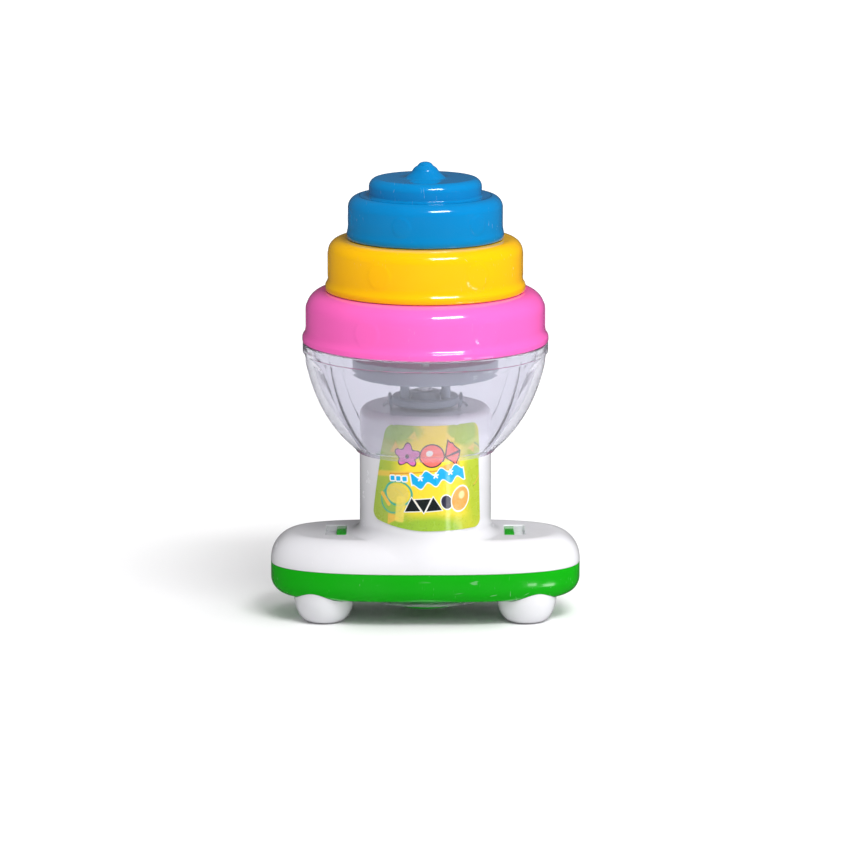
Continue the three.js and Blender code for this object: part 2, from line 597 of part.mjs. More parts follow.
const launcher = new THREE.Group();
launcher.add(
  meshOf("handle_cover", handleCover(), WHITE),
  meshOf("handle_tray", handleTray(), GREEN),
  meshOf("button_bezel", buttonBezel(), CLEAR),
  meshOf("stem_label", stemLabel(), PRINTED_FILM),
  meshOf("bearing_bridge", bearingBridge(), GREY),
  meshOf("lower_bush", lowerBush(), GREY),
  meshOf("upper_bush", upperBush(), GREY),
  meshOf("latch_pin", rod(LATCH_PIN.r, LATCH_PIN.low, LATCH_PIN.top, 12, PIVOT), STEEL),
  meshOf("winding_spring", windingSpring(), STEEL),
  meshOf("button_spring", buttonSpring, STEEL),
  meshOf("latch_spring", latchSpring, STEEL),
);
for (const [hand, side] of [["left", -1], ["right", 1]]) {
  for (const [end, depth] of [["front", -1], ["rear", 1]]) {
    launcher.add(meshOf(`foot_${end}_${hand}`, foot(side * FOOT.x, depth * FOOT.y), WHITE));
  }
  const caseScrew = screw([side * CASE_SCREW_X, 0], FLOOR_TOP, CASE_SCREW);
  const bridgeScrew = screw([side * BRIDGE_SCREW_X, 0], BRIDGE.low - GAP, BRIDGE_SCREW);
  launcher.add(meshOf(`case_screw_${hand}`, caseScrew, STEEL));
  launcher.add(meshOf(`bridge_screw_${hand}`, bridgeScrew, STEEL));
}

const spindle = new THREE.Group();
spindle.add(
  meshOf("spindle_shaft", spindleShaft(), STEEL),
  meshOf("ratchet_wheel", ratchetWheel(), GREY),
  meshOf("retaining_clip", retainingClip(), STEEL),
  meshOf("drive_head", driveHead(), GREY),
);

const release = new THREE.Group();
release.add(meshOf("release_button", releaseButton(), GREEN), meshOf("latch_lever", latchLever(), WHITE));

const tieSeat = PINK.top - WALL - GAP;
const tieScrew = screw([0, 0], tieSeat, { ...TIE_SCREW, length: TIE_SCREW.top - tieSeat });
const top = new THREE.Group();
top.add(
  meshOf("clear_dome", clearDome(), CLEAR),
  meshOf("pink_tier", pinkTier(), PINK_GLOSS),
  meshOf("yellow_tier", openTier(YELLOW), YELLOW_GLOSS),
  meshOf("blue_tier", blueTier(), BLUE_GLOSS),
  meshOf("catch_plate", catchPlate(), GREY),
  meshOf("tie_screw", tieScrew, STEEL),
);
plateScrewPlaces.forEach((at, i) => {
  const plateScrew = screw(at, PLATE.low + PLATE.sink - GAP, PLATE_SCREW);
  top.add(meshOf(`plate_screw_${i + 1}`, plateScrew, STEEL));
});

const spinningTop = new THREE.Group();
spinningTop.add(launcher, spindle, release, top);
export default spinningTop;
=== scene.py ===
"""Looks of the hand-launched spinning top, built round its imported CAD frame.

Lengths are millimetres until a mesh is made. The origin is on the floor, on the stem's axis, +Z is up and
the front faces -Y.
"""

import math

import bmesh
import bpy
import numpy as np
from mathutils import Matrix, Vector


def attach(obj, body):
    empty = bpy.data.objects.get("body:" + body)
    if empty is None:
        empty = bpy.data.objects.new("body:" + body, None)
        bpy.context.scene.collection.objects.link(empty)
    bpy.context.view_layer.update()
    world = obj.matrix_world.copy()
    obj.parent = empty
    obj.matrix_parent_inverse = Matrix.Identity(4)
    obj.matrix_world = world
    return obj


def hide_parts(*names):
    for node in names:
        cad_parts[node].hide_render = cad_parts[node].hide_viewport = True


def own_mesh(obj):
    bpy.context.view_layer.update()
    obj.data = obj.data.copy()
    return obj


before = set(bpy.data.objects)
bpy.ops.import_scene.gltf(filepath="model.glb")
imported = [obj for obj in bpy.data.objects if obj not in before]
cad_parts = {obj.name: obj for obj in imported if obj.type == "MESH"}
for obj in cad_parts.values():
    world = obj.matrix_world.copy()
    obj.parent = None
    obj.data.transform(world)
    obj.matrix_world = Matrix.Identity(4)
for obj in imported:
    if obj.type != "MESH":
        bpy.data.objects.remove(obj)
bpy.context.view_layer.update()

MM = 0.001

# ---- Driving dimensions ---------------------------------------------------------------------------------

WALL = 1.8
PLAN_HALF_X, PLAN_HALF_Y, PLAN_POWER = 42.5, 20.5, 2.7
TRAY_BOTTOM, SPLIT_Z, DECK_TOP = 6.8, 15.3, 23.4
COVER_ROUND, TRAY_ROUND = 7.6, 4.4
SPLIT_GAP = 0.03  # half of the seam between the two mouldings
EDGE_ROUND = 0.14  # broken edges along the seam
STEM_R, STEM_TOP, STEM_FILLET, STEM_EDGE = 18.0, 58.6, 3.0, 2.2
BUSH_HOLE_R = 4.0
WINDOW_X, WINDOW_HALF_Y, WINDOW_CORNER = (21.7, 27.3), 6.2, 0.5
HOOK_X, HOOK_HALF_Y, HOOK_Z = (21.75, 24.4), 6.1, (9.6, 23.1)
LEDGE_HALF_Y, LEDGE_Z = 6.6, (20.3, 21.6)
FOOT_R, FOOT_X, FOOT_Y = 8.2, 27.7, 8.6
FOOT_SOLE_R, FOOT_HOLLOW, FOOT_SHOULDER_Z = 4.1, 0.35, 6.2

# Button with the clear ring round it
BUTTON_HOLE_R, BUTTON_R, BUTTON_FLANGE_R = 10.8, 10.4, 13.4
BUTTON_LOW, BUTTON_DOME_R, BUTTON_TRAVEL = 2.4, 21.4, 2.0
BEZEL_INNER_R, BEZEL_LIP_R, BEZEL_LOW = 11.15, 18.9, 5.95
SPRING_R, SPRING_WIRE_R, SPRING_TURNS = 6.0, 0.3, 3
SPRING_LOW, SPRING_HIGH = 8.0, 14.9

FLUTES, FLUTE_DEPTH = 10, 0.45
BOWL_NECK_R, BOWL_BOTTOM, BOWL_R, BOWL_WALL = 18.5, 46.2, 33.5, 2.1
BOWL_SHOULDER, BOWL_RIM = 73.3, 76.2

# Catch plate, drive head with its pegs, and spindle
PLATE_HOLE_R, PLATE_R, PLATE_LOW, PLATE_TOP = 3.0, 20.0, 67.2, 71.7
HEAD_Z, HEAD_BORE_R, HEAD_R = STEM_TOP + 0.6, 2.2, 9.6
PEG_R, PEG_CIRCLE, PEG_TOP = 1.3, 6.5, 68.9
ROD_R, ROD_LOW, ROD_TOP, ROD_GROOVE = 2.0, 14.2, 69.3, (53.6, 54.9)

PLAN_STEPS = 384
ROUND_STEPS = 320

# ---- Mesh helpers ---------------------------------------------------------------------------------------


def arc(centre, radius, start, end, steps=8):
    """Points of a circular arc in a profile, from one angle to another, in degrees."""
    turns = np.radians(np.linspace(start, end, steps + 1))
    return [(centre[0] + radius * math.cos(t), centre[1] + radius * math.sin(t)) for t in turns]


def bezier(points, steps):
    """Points of a cubic Bezier curve."""
    t = np.linspace(0, 1, steps + 1)[:, None]
    a, b, c, d = (np.array(p, float) for p in points)
    curve = (1 - t) ** 3 * a + 3 * (1 - t) ** 2 * t * b + 3 * (1 - t) * t**2 * c + t**3 * d
    return [tuple(p) for p in curve]


def line(start, end, steps):
    """Evenly spaced points of a straight stretch."""
    return [tuple(p) for p in np.linspace(start, end, steps + 1)]


def add_piece(name, vertices, faces, material, sharp=32.0):
    """A smooth-shaded mesh object from points in millimetres, with creases kept sharp."""
    mesh = bpy.data.meshes.new(name)
    mesh.from_pydata((np.asarray(vertices, float).reshape(-1, 3) * MM).tolist(), [], faces)
    work = bmesh.new()
    work.from_mesh(mesh)
    bmesh.ops.remove_doubles(work, verts=work.verts, dist=1e-7)
    bmesh.ops.dissolve_degenerate(work, edges=work.edges, dist=1e-7)
    bmesh.ops.recalc_face_normals(work, faces=work.faces)
    work.to_mesh(mesh)
    work.free()
    mesh.polygons.foreach_set("use_smooth", [True] * len(mesh.polygons))
    mesh.set_sharp_from_angle(angle=math.radians(sharp))
    mesh.materials.append(material)
    piece = bpy.data.objects.new(name, mesh)
    bpy.context.scene.collection.objects.link(piece)
    return piece


def grid_faces(rows, columns, close_rows):
    """Quads over rows of points that each go all the way round."""
    faces = []
    for i in range(rows if close_rows else rows - 1):
        upper = ((i + 1) % rows) * columns
        for j in range(columns):
            k = (j + 1) % columns
            faces.append((i * columns + j, i * columns + k, upper + k, upper + j))
    return faces


def turned(
    name, profile, material, steps=ROUND_STEPS, centre=(0, 0), closed=False, shape=None, sharp=32.0
):
    """A profile of (radius, height) turned about +Z. shape(theta, r, z) may move its points outwards."""
    theta = np.arange(steps) * 2 * math.pi / steps
    r, z = (np.array(v, float)[:, None] + np.zeros(steps) for v in zip(*profile))
    if shape:
        r = shape(theta[None, :], r, z)
    points = np.stack([centre[0] + r * np.cos(theta), centre[1] + r * np.sin(theta), z], -1)
    return add_piece(name, points, grid_faces(len(profile), steps, closed), material, sharp)


def box_piece(name, low, high, material, slot, bevel=0.2):
    """A block with rounded edges."""
    work = bmesh.new()
    bmesh.ops.create_cube(work, size=1)
    middle, size = (np.array(low) + high) / 2, np.array(high) - low
    for v in work.verts:
        v.co = Vector(middle + size * v.co) * MM
    bmesh.ops.bevel(work, geom=work.edges, offset=bevel * MM, segments=3, profile=0.5, affect="EDGES")
    mesh = bpy.data.meshes.new(name)
    work.to_mesh(mesh)
    work.free()
    mesh.polygons.foreach_set("use_smooth", [True] * len(mesh.polygons))
    mesh.set_sharp_from_angle(angle=math.radians(40))
    mesh.materials.append(material)
    piece = bpy.data.objects.new(name, mesh)
    bpy.context.scene.collection.objects.link(piece)
    return piece


def seat(piece, body, *nodes):
    """The piece rides on a CAD body and stands for these CAD nodes."""
    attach(piece, body)
    if nodes:
        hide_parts(*nodes)
    return piece


# ---- Material helpers -----------------------------------------------------------------------------------


class Value:
    """A number that varies over a surface. Arithmetic on it adds Math nodes."""

    def __init__(self, tree, socket):
        self.tree, self.socket = tree, socket

    def math(self, operation, *others, clamp=False):
        node = self.tree.nodes.new("ShaderNodeMath")
        node.operation, node.use_clamp = operation, clamp
        for slot, value in zip(node.inputs, (self, *others)):
            if isinstance(value, Value):
                self.tree.links.new(value.socket, slot)
            else:
                slot.default_value = value
        return Value(self.tree, node.outputs[0])

    def __add__(self, other):
        return self.math("ADD", other)

    def __sub__(self, other):
        return self.math("SUBTRACT", other)

    def __mul__(self, other):
        return self.math("MULTIPLY", other)

    def __abs__(self):
        return self.math("ABSOLUTE")

    def clamp(self):
        return self.math("ADD", 0.0, clamp=True)

    def step(self, edge, softness):
        """1 where the value is below the edge and 0 above it."""
        return ((self - edge) * (-1 / softness)).math("ADD", 0.5, clamp=True)


class Surface:
    """A node material, with short calls for the nodes that it needs."""

    def __init__(self, name):
        self.material = bpy.data.materials.new(name)
        self.material.use_nodes = True
        self.tree = self.material.node_tree
        self.shader = self.tree.nodes["Principled BSDF"]
        self.object_space = self.tree.nodes.new("ShaderNodeTexCoord").outputs["Object"]

    def node(self, kind, **settings):
        made = self.tree.nodes.new(kind)
        for key, value in settings.items():
            setattr(made, key, value)
        return made

    def link(self, source, target):
        self.tree.links.new(source.socket if isinstance(source, Value) else source, target)

    def stretched(self, scale, turn=(0, 0, 0)):
        mapping = self.node("ShaderNodeMapping")
        mapping.inputs["Scale"].default_value = scale
        mapping.inputs["Rotation"].default_value = turn
        self.link(self.object_space, mapping.inputs["Vector"])
        return mapping.outputs["Vector"]

    def noise(self, scale, detail=3.0, vector=None, roughness=0.5):
        made = self.node("ShaderNodeTexNoise")
        made.inputs["Scale"].default_value = scale
        made.inputs["Detail"].default_value = detail
        made.inputs["Roughness"].default_value = roughness
        self.link(vector or self.object_space, made.inputs["Vector"])
        return Value(self.tree, made.outputs[0])

    def ramp(self, value, low, high, out_low, out_high):
        made = self.node("ShaderNodeMapRange")
        for key, number in zip(("From Min", "From Max", "To Min", "To Max"), (low, high, out_low, out_high)):
            made.inputs[key].default_value = number
        self.link(value, made.inputs["Value"])
        return Value(self.tree, made.outputs["Result"])

    def mix(self, factor, first, second):
        """A colour between two others. Each is a colour or a socket."""
        made = self.node("ShaderNodeMix", data_type="RGBA")
        self.link(factor, made.inputs["Factor"])
        for slot, value in zip((made.inputs[6], made.inputs[7]), (first, second)):
            if isinstance(value, (tuple, list)):
                slot.default_value = (*value, 1)
            else:
                self.link(value, slot)
        return made.outputs[2]

    def bump(self, height, strength, distance):
        made = self.node("ShaderNodeBump")
        made.inputs["Strength"].default_value = strength
        made.inputs["Distance"].default_value = distance
        self.link(height, made.inputs["Height"])
        self.link(made.outputs["Normal"], self.shader.inputs["Normal"])

    def set(self, **values):
        for key, value in values.items():
            self.shader.inputs[key.replace("_", " ")].default_value = value


def shade(color, factor):
    return tuple(min(1.0, c * factor) for c in color)


def moulded(name, color, roughness=0.24, coat=0.5, waviness=0.035, wear=0.16, scatter=0.0):
    """Glossy moulded plastic: soft flow marks, handling haze, hairline scratches, faint waviness."""
    s = Surface(name)
    flow = s.noise(38, 4, s.stretched((1, 1, 0.45)))
    tone = s.mix(s.ramp(flow, 0.3, 0.7, 0, 1), shade(color, 0.955), shade(color, 1.03))
    haze = s.noise(95, 5, roughness=0.62)
    scratch = None
    for turn, scale in (((0.4, 0.9, 0.2), (2600, 60, 400)), ((1.3, 0.2, 0.7), (90, 3100, 500))):
        lines = s.noise(1.0, 2, s.stretched(scale, turn))
        found = s.ramp(lines, 0.69, 0.76, 0, 1)
        scratch = found if scratch is None else scratch.math("MAXIMUM", found)
    scratch = scratch * s.ramp(s.noise(55, 2), 0.5, 0.64, 0, 1)
    s.link(s.mix(scratch * wear, tone, (0.9, 0.9, 0.92)), s.shader.inputs["Base Color"])
    rough = s.ramp(haze, 0.3, 0.75, roughness * 0.75, roughness * 1.35) + scratch * 0.16
    s.link(rough.clamp(), s.shader.inputs["Roughness"])
    skin = s.noise(170, 2) * 0.8 + s.noise(1500, 2) * 0.02
    s.bump(skin, waviness, 0.0006)
    s.set(IOR=1.5, Coat_Weight=coat, Coat_Roughness=0.03, Coat_IOR=1.5)
    if scatter:
        s.set(Subsurface_Weight=scatter, Subsurface_Radius=(0.004, 0.004, 0.0045), Subsurface_Scale=1.0)
    return s.material


def clear_plastic(name, tint, roughness=0.02, veil=0.05):
    """Polished clear plastic with faint flow lines and a light haze of handling marks."""
    s = Surface(name)
    streaks = s.noise(60, 3, s.stretched((1, 1, 0.25)))
    tone = s.mix(s.ramp(streaks, 0.35, 0.65, 0, 1), shade(tint, 0.985), tint)
    s.link(tone, s.shader.inputs["Base Color"])
    haze = s.ramp(s.noise(130, 4, roughness=0.65), 0.45, 0.8, roughness, roughness + 0.09)
    s.link(haze, s.shader.inputs["Roughness"])
    s.bump(streaks + s.noise(220, 2) * 0.35, 0.09, 0.0006)
    s.set(Transmission_Weight=1.0 - veil, IOR=1.34)
    return s.material


def metal(name, color, roughness):
    """Plated steel with fine drawing marks and slight tarnish."""
    s = Surface(name)
    tarnish = s.ramp(s.noise(240, 4), 0.35, 0.7, 0, 1)
    s.link(s.mix(tarnish, color, shade(color, 0.82)), s.shader.inputs["Base Color"])
    marks = s.noise(1, 3, s.stretched((900, 900, 9000)))
    s.link(s.ramp(marks, 0.3, 0.7, roughness * 0.7, roughness * 1.4), s.shader.inputs["Roughness"])
    s.bump(marks, 0.08, 0.0003)
    s.set(Metallic=1.0)
    return s.material


WHITE = moulded("white_plastic", (0.79, 0.785, 0.82), roughness=0.22, wear=0.0, scatter=0.1)
GREEN = moulded("green_plastic", (0.001, 0.39, 0.001), roughness=0.2)
PINK = moulded("pink_plastic", (1.0, 0.135, 0.53), roughness=0.13)
YELLOW = moulded("yellow_plastic", (1.0, 0.51, 0.0), roughness=0.13)
BLUE = moulded("blue_plastic", (0.0, 0.215, 0.53), roughness=0.13)
GREY = moulded("grey_plastic", (0.31, 0.355, 0.41), roughness=0.34, coat=0.1)
# a darker copy of the white plastic: painted shade for the window ledges and the hidden latch lever
SHADED_WHITE = moulded("white_plastic_painted_shade", (0.70, 0.70, 0.73), roughness=0.38, coat=0.0)
CLEAR = clear_plastic("clear_plastic", (0.86, 0.86, 0.93), veil=0.1)
BEZEL_CLEAR = clear_plastic("clear_bezel_plastic", (0.90, 0.92, 0.95), roughness=0.06, veil=0.14)
STEEL = metal("plated_steel", (0.62, 0.63, 0.65), 0.3)
SPRING_STEEL = metal("spring_steel", (0.42, 0.42, 0.44), 0.38)

# ---- Printed film ---------------------------------------------------------------------------------------

FILM_LOW, FILM_HIGH, FILM_CORNER = 27.0, 56.5, 2.4
FILM_R, FILM_THICK = STEM_R + 0.24, 0.14
FILM_LEFT = (-51.5, -35.5)  # turn of the left edge at the bottom and at the top, in degrees from the front
FILM_RIGHT = (55.0, 51.0)
FILM_RISE = 2.6  # how far the lower edge climbs at the left
PRINT_UNIT = 100.0  # millimetres in one unit of the film's UV map


class Print:
    """Flat shapes painted on the film, in millimetres along it and up it, one over another."""

    def __init__(self, s):
        self.s = s
        uv = s.node("ShaderNodeSeparateXYZ")
        s.link(s.node("ShaderNodeUVMap").outputs["UV"], uv.inputs["Vector"])
        self.x = Value(s.tree, uv.outputs["X"]) * PRINT_UNIT
        self.y = Value(s.tree, uv.outputs["Y"]) * PRINT_UNIT
        self.color = None

    def at(self, centre, turn=0.0, lean=0.0):
        """Coordinates about a centre, turned by some degrees, with uprights that lean sideways."""
        x, y = self.x - centre[0], self.y - centre[1]
        if turn:
            c, sn = math.cos(math.radians(turn)), math.sin(math.radians(turn))
            x, y = x * c + y * sn, y * c - x * sn
        return (x - y * lean if lean else x), y

    def ellipse(self, centre, rx, ry, turn=0.0):
        x, y = self.at(centre, turn)
        scale = min(rx, ry)
        reach = ((x * (1 / rx)).math("POWER", 2.0) + (y * (1 / ry)).math("POWER", 2.0)).math("SQRT")
        return reach * scale - scale

    def block(self, centre, half, corner=0.3, turn=0.0, lean=0.0):
        x, y = self.at(centre, turn, lean)
        dx = (abs(x) - (half[0] - corner)).math("MAXIMUM", 0.0)
        dy = (abs(y) - (half[1] - corner)).math("MAXIMUM", 0.0)
        return (dx * dx + dy * dy).math("SQRT") - corner

    def triangle(self, centre, size, turn=0.0):
        x, y = self.at(centre, turn)
        side = abs(x) * 0.866 + y * 0.5
        return side.math("MAXIMUM", y * -1.0) - size * 0.5

    def star(self, centre, size, turn=0.0, points=5, depth=0.26):
        x, y = self.at(centre, turn)
        reach = (x * x + y * y).math("SQRT")
        wave = (y.math("ARCTAN2", x) * float(points)).math("COSINE")
        return reach - (wave * (depth * size) + size * (1 - depth))

    def ring(self, centre, radius, half, squash=1.0, turn=0.0):
        return abs(self.ellipse(centre, radius, radius * squash, turn)) - half

    def paint(self, distance, color, softness=0.12, strength=1.0):
        mask = distance.step(0.0, softness)
        self.color = self.s.mix(mask * strength if strength < 1 else mask, self.color, color)

    def outlined(self, distance, fill, outline, width):
        self.paint(distance - width, outline)
        self.paint(distance, fill)


NAVY = (0.022, 0.022, 0.055)
CORAL = (0.96, 0.16, 0.13)
ORCHID = (0.66, 0.165, 0.46)
CYAN = (0.0, 0.42, 0.79)
TANGERINE = (0.98, 0.38, 0.08)
OCHRE = (0.86, 0.50, 0.075)
TEAL = (0.055, 0.42, 0.30)
PAPER = (0.88, 0.88, 0.84)
INK = (0.012, 0.018, 0.018)
LEAF = (0.30, 0.52, 0.035)
LEMON = (0.93, 0.70, 0.035)
OLIVE = (0.42, 0.50, 0.055)


def printed_film():
    """Bright generic shapes on a green and yellow ground, under a clear gloss."""
    s = Surface("label_film")
    p = Print(s)
    wobble = (s.noise(90, 3) - 0.5) * 9.0
    p.color = s.mix((p.x * 0.09 + p.y * 0.012 + wobble * 0.1).math("ADD", 0.62, clamp=True), OLIVE, LEMON)
    p.paint(p.ellipse((2.5, 13.5), 9.5, 17.0, 8) + wobble * 0.25, LEMON, 5.0)
    p.paint(p.ellipse((15.5, 14.0), 5.0, 15.0, 4) + wobble * 0.3, LEAF, 4.0, 0.75)
    p.paint(p.ellipse((0.5, -0.5), 13.0, 4.6, 3) + wobble * 0.35, LEAF, 3.0, 0.95)
    p.paint(p.ellipse((-9.0, 28.4), 7.5, 3.2, -4) + wobble * 0.3, LEAF, 1.4, 0.9)
    p.paint(p.ellipse((10.5, 28.0), 4.6, 4.2, -10) + wobble * 0.2, LEAF, 1.0, 0.8)
    p.paint(p.ellipse((-15.0, 12.0), 3.4, 15.0, 6) + wobble * 0.4, (0.36, 0.50, 0.07), 3.0, 0.8)
    # flat shards behind the shapes
    for centre, size, turn, color in (
        ((-8.2, 23.2), 2.1, 4, OCHRE),
        ((13.6, 22.8), 1.5, -32, OCHRE),
        ((-9.6, 3.4), 2.4, 28, OCHRE),
        ((6.2, 26.0), 1.8, 15, (0.98, 0.72, 0.12)),
        ((-3.2, 26.6), 1.6, -12, (0.93, 0.66, 0.10)),
    ):
        p.paint(p.triangle(centre, size, turn), color, 0.3, 0.85)
    p.paint(p.block((-8.8, 15.6), (5.6, 0.75), 0.3, 4), (0.93, 0.52, 0.08), 0.5, 0.6)
    p.paint(p.block((-0.6, 16.35), (9.6, 0.16), 0.1, 5), (0.66, 0.24, 0.02), 0.15, 0.9)
    p.paint(p.block((6.6, 17.8), (3.2, 0.7), 0.4, 16), TANGERINE, 0.2, 0.9)
    # curls at the left
    p.paint(p.ellipse((-9.6, 7.6), 3.4, 3.2, 12), (0.30, 0.50, 0.08), 0.4, 0.9)
    p.paint(p.ring((-9.4, 8.2), 3.5, 0.22, 1.0, 12), TEAL, 0.2, 0.9)
    p.paint(p.ellipse((-8.1, 10.2), 3.5, 2.7, -8), (0.78, 0.62, 0.12), 0.3, 0.9)
    p.paint(p.ring((-7.6, 10.2), 3.9, 0.26, 0.85, -8).math("MAXIMUM", p.x * 0.5 - p.y + 5.6), TEAL, 0.15)
    p.paint(p.block((-11.6, 8.4), (2.3, 0.55), 0.5, -52), OCHRE, 0.25, 0.95)
    p.paint(p.block((-7.0, 5.9), (1.3, 3.6), 0.6, -6), (0.88, 0.70, 0.12), 0.4, 0.8)
    # green leaf outline at the right
    for centre, radius, half, cut, color in (
        ((13.2, 17.6), 4.4, 0.13, 14.4, (0.10, 0.26, 0.03)),
        ((13.6, 17.4), 4.0, 0.1, 14.6, OCHRE),
    ):
        outline = p.ring(centre, radius, half, 1.5, -8).math("MAXIMUM", (p.x - cut) * -1.0)
        p.paint(outline, color, 0.15)
    # upper row: star, ball and a pair of triangles
    p.outlined(p.star((-4.9, 21.2), 3.5, 14, 5, 0.2), ORCHID, NAVY, 0.36)
    p.paint(p.ellipse((-4.9, 21.2), 0.55, 0.55), NAVY)
    ball = p.ellipse((1.8, 21.1), 3.1, 3.2, 5)
    pair = p.triangle((7.0, 23.0), 2.3, 20).math("MINIMUM", p.triangle((7.9, 20.4), 2.1, 196))
    p.outlined(pair, CORAL, NAVY, 0.36)
    p.outlined(ball, CORAL, NAVY, 0.36)
    p.paint(p.ellipse((1.1, 22.0), 0.95, 0.8, 24), PAPER, 0.2)
    # middle row: a rising wave with three small squares before it
    x, y = p.at((3.6, 14.9), 10)
    wave = abs(y - (x * 1.5).math("SINE") * 0.75) - 1.5
    wave = wave.math("MAXIMUM", abs(x) - 7.4)
    run = [wave] + [p.block((x0, 14.35), (0.62, 0.62), 0.25, 4) for x0 in (-9.3, -7.55, -5.75)]
    for shape in run:
        p.paint(shape - 0.34, PAPER)
    for shape in run:
        p.paint(shape, CYAN)
    for x0, y0 in ((-1.4, 14.7), (2.8, 15.4), (6.9, 16.2)):
        p.paint(p.star((x0, y0), 0.95, 20, 5, 0.3), PAPER, 0.15)
    # lower row: three dark peaks, a dark pebble and an orange drop
    for centre, size, turn in (((-3.6, 6.7), 2.5, 4), ((-0.6, 7.6), 2.5, 184), ((2.3, 6.9), 2.5, 4)):
        p.outlined(p.triangle(centre, size, turn), INK, PAPER, 0.22)
    p.outlined(p.ellipse((5.9, 7.9), 1.5, 1.9, 20), NAVY, PAPER, 0.26)
    p.outlined(p.ellipse((10.0, 8.6), 2.5, 3.35, -18), TANGERINE, PAPER, 0.34)
    p.paint(p.ellipse((10.4, 9.6), 0.9, 1.1, -18), (1.0, 0.72, 0.35), 0.3)
    # speckles of the print, thicker at the top left and along the bottom
    speckle = s.ramp(s.noise(2600, 1), 0.62, 0.70, 0, 1)
    corner = p.ellipse((-7.0, 28.0), 5.5, 2.4).step(0.3, 2.0)
    bottom = p.y.step(3.6, 2.5)
    p.color = s.mix(speckle * (corner * 0.75 + bottom * 0.35).clamp(), p.color, (0.13, 0.20, 0.03))
    s.link(p.color, s.shader.inputs["Base Color"])
    s.link(s.ramp(s.noise(240, 4), 0.3, 0.7, 0.2, 0.34), s.shader.inputs["Roughness"])
    s.bump(s.noise(320, 2), 0.05, 0.0004)
    s.set(IOR=1.5, Coat_Weight=0.5, Coat_Roughness=0.08)
    return s.material


def film():
    """The printed label: a thin skin round the stem with rounded corners, its left edge leaning."""
    rows, columns = 73, 121
    ease = (1 - np.cos(np.linspace(0, math.pi, rows))) / 2
    heights = FILM_LOW + (FILM_HIGH - FILM_LOW) * ease
    near = np.minimum(heights - FILM_LOW, FILM_HIGH - heights)
    tuck = FILM_CORNER - np.sqrt(np.maximum(FILM_CORNER**2 - np.maximum(FILM_CORNER - near, 0) ** 2, 0))
    tuck = tuck * math.degrees(1 / FILM_R)
    left = FILM_LEFT[0] + (FILM_LEFT[1] - FILM_LEFT[0]) * ease**1.15 + tuck
    right = FILM_RIGHT[0] + (FILM_RIGHT[1] - FILM_RIGHT[0]) * ease - tuck
    share = np.linspace(0, 1, columns)
    turn = np.radians(left[:, None] + (right - left)[:, None] * share)
    rise = FILM_RISE * (np.maximum(-turn, 0) / math.radians(50)) ** 1.6
    z = heights[:, None] + rise * (1 - ease[:, None])
    layers = [np.stack([r * np.sin(turn), -r * np.cos(turn), z], -1) for r in (FILM_R - FILM_THICK, FILM_R)]
    sheet = rows * columns
    faces = []
    for i in range(rows - 1):
        for j in range(columns - 1):
            a = i * columns + j
            outer = (a, a + 1, a + columns + 1, a + columns)
            faces.append(outer[::-1])
            faces.append(tuple(k + sheet for k in outer))
    bottom = list(range(columns))
    right_edge = [i * columns + columns - 1 for i in range(1, rows)]
    top = [(rows - 1) * columns + j for j in range(columns - 2, -1, -1)]
    left_edge = [i * columns for i in range(rows - 2, 0, -1)]
    rim = bottom + right_edge + top + left_edge
    for a, b in zip(rim, rim[1:] + rim[:1]):
        faces.append((a, b, b + sheet, a + sheet))
    points = np.concatenate([layer.reshape(-1, 3) for layer in layers])
    piece = add_piece("printed_label", points, faces, LABEL)
    uv = piece.data.uv_layers.new(name="print")
    for loop in piece.data.loops:
        x, y, height = piece.data.vertices[loop.vertex_index].co
        along = math.atan2(x, -y) * FILM_R
        uv.data[loop.index].uv = (along / PRINT_UNIT, (height / MM - FILM_LOW) / PRINT_UNIT)
    return piece


LABEL = printed_film()

# ---- Handle ---------------------------------------------------------------------------------------------

PLAN_TURNS = np.arange(PLAN_STEPS) * 2 * math.pi / PLAN_STEPS
HALVINGS = 34  # steps of the search along each ray
TOP_SINK = 0.5


def plan_radius(theta):
    """Distance from the axis to the edge of the handle's superellipse plan."""
    x, y = np.abs(np.cos(theta)) / PLAN_HALF_X, np.abs(np.sin(theta)) / PLAN_HALF_Y
    return (x**PLAN_POWER + y**PLAN_POWER) ** (-1 / PLAN_POWER)


PLAN_R = plan_radius(PLAN_TURNS)
_slope = (np.roll(PLAN_R, -1) - np.roll(PLAN_R, 1)) / (2 * PLAN_TURNS[1])
PLAN_COS = PLAN_R / np.hypot(PLAN_R, _slope)  # cosine between the radius and the plan's normal


def on_turns(r, z):
    """Points at these distances from the axis and heights, one for each turn of the plan."""
    return np.stack([r * np.cos(PLAN_TURNS), r * np.sin(PLAN_TURNS), z], -1)


def plan_row(inset, z):
    """A row of points at a height, moved in from the plan's edge by inset."""
    return on_turns(PLAN_R - inset / PLAN_COS, np.full(PLAN_STEPS, float(z)))


def round_row(r, z):
    """A round row of points at a height."""
    return on_turns(r, np.full(PLAN_STEPS, float(z)))


def between(first, last, steps):
    """Rows between two rows, without the two themselves."""
    return [first + (last - first) * i / steps for i in range(1, steps)]


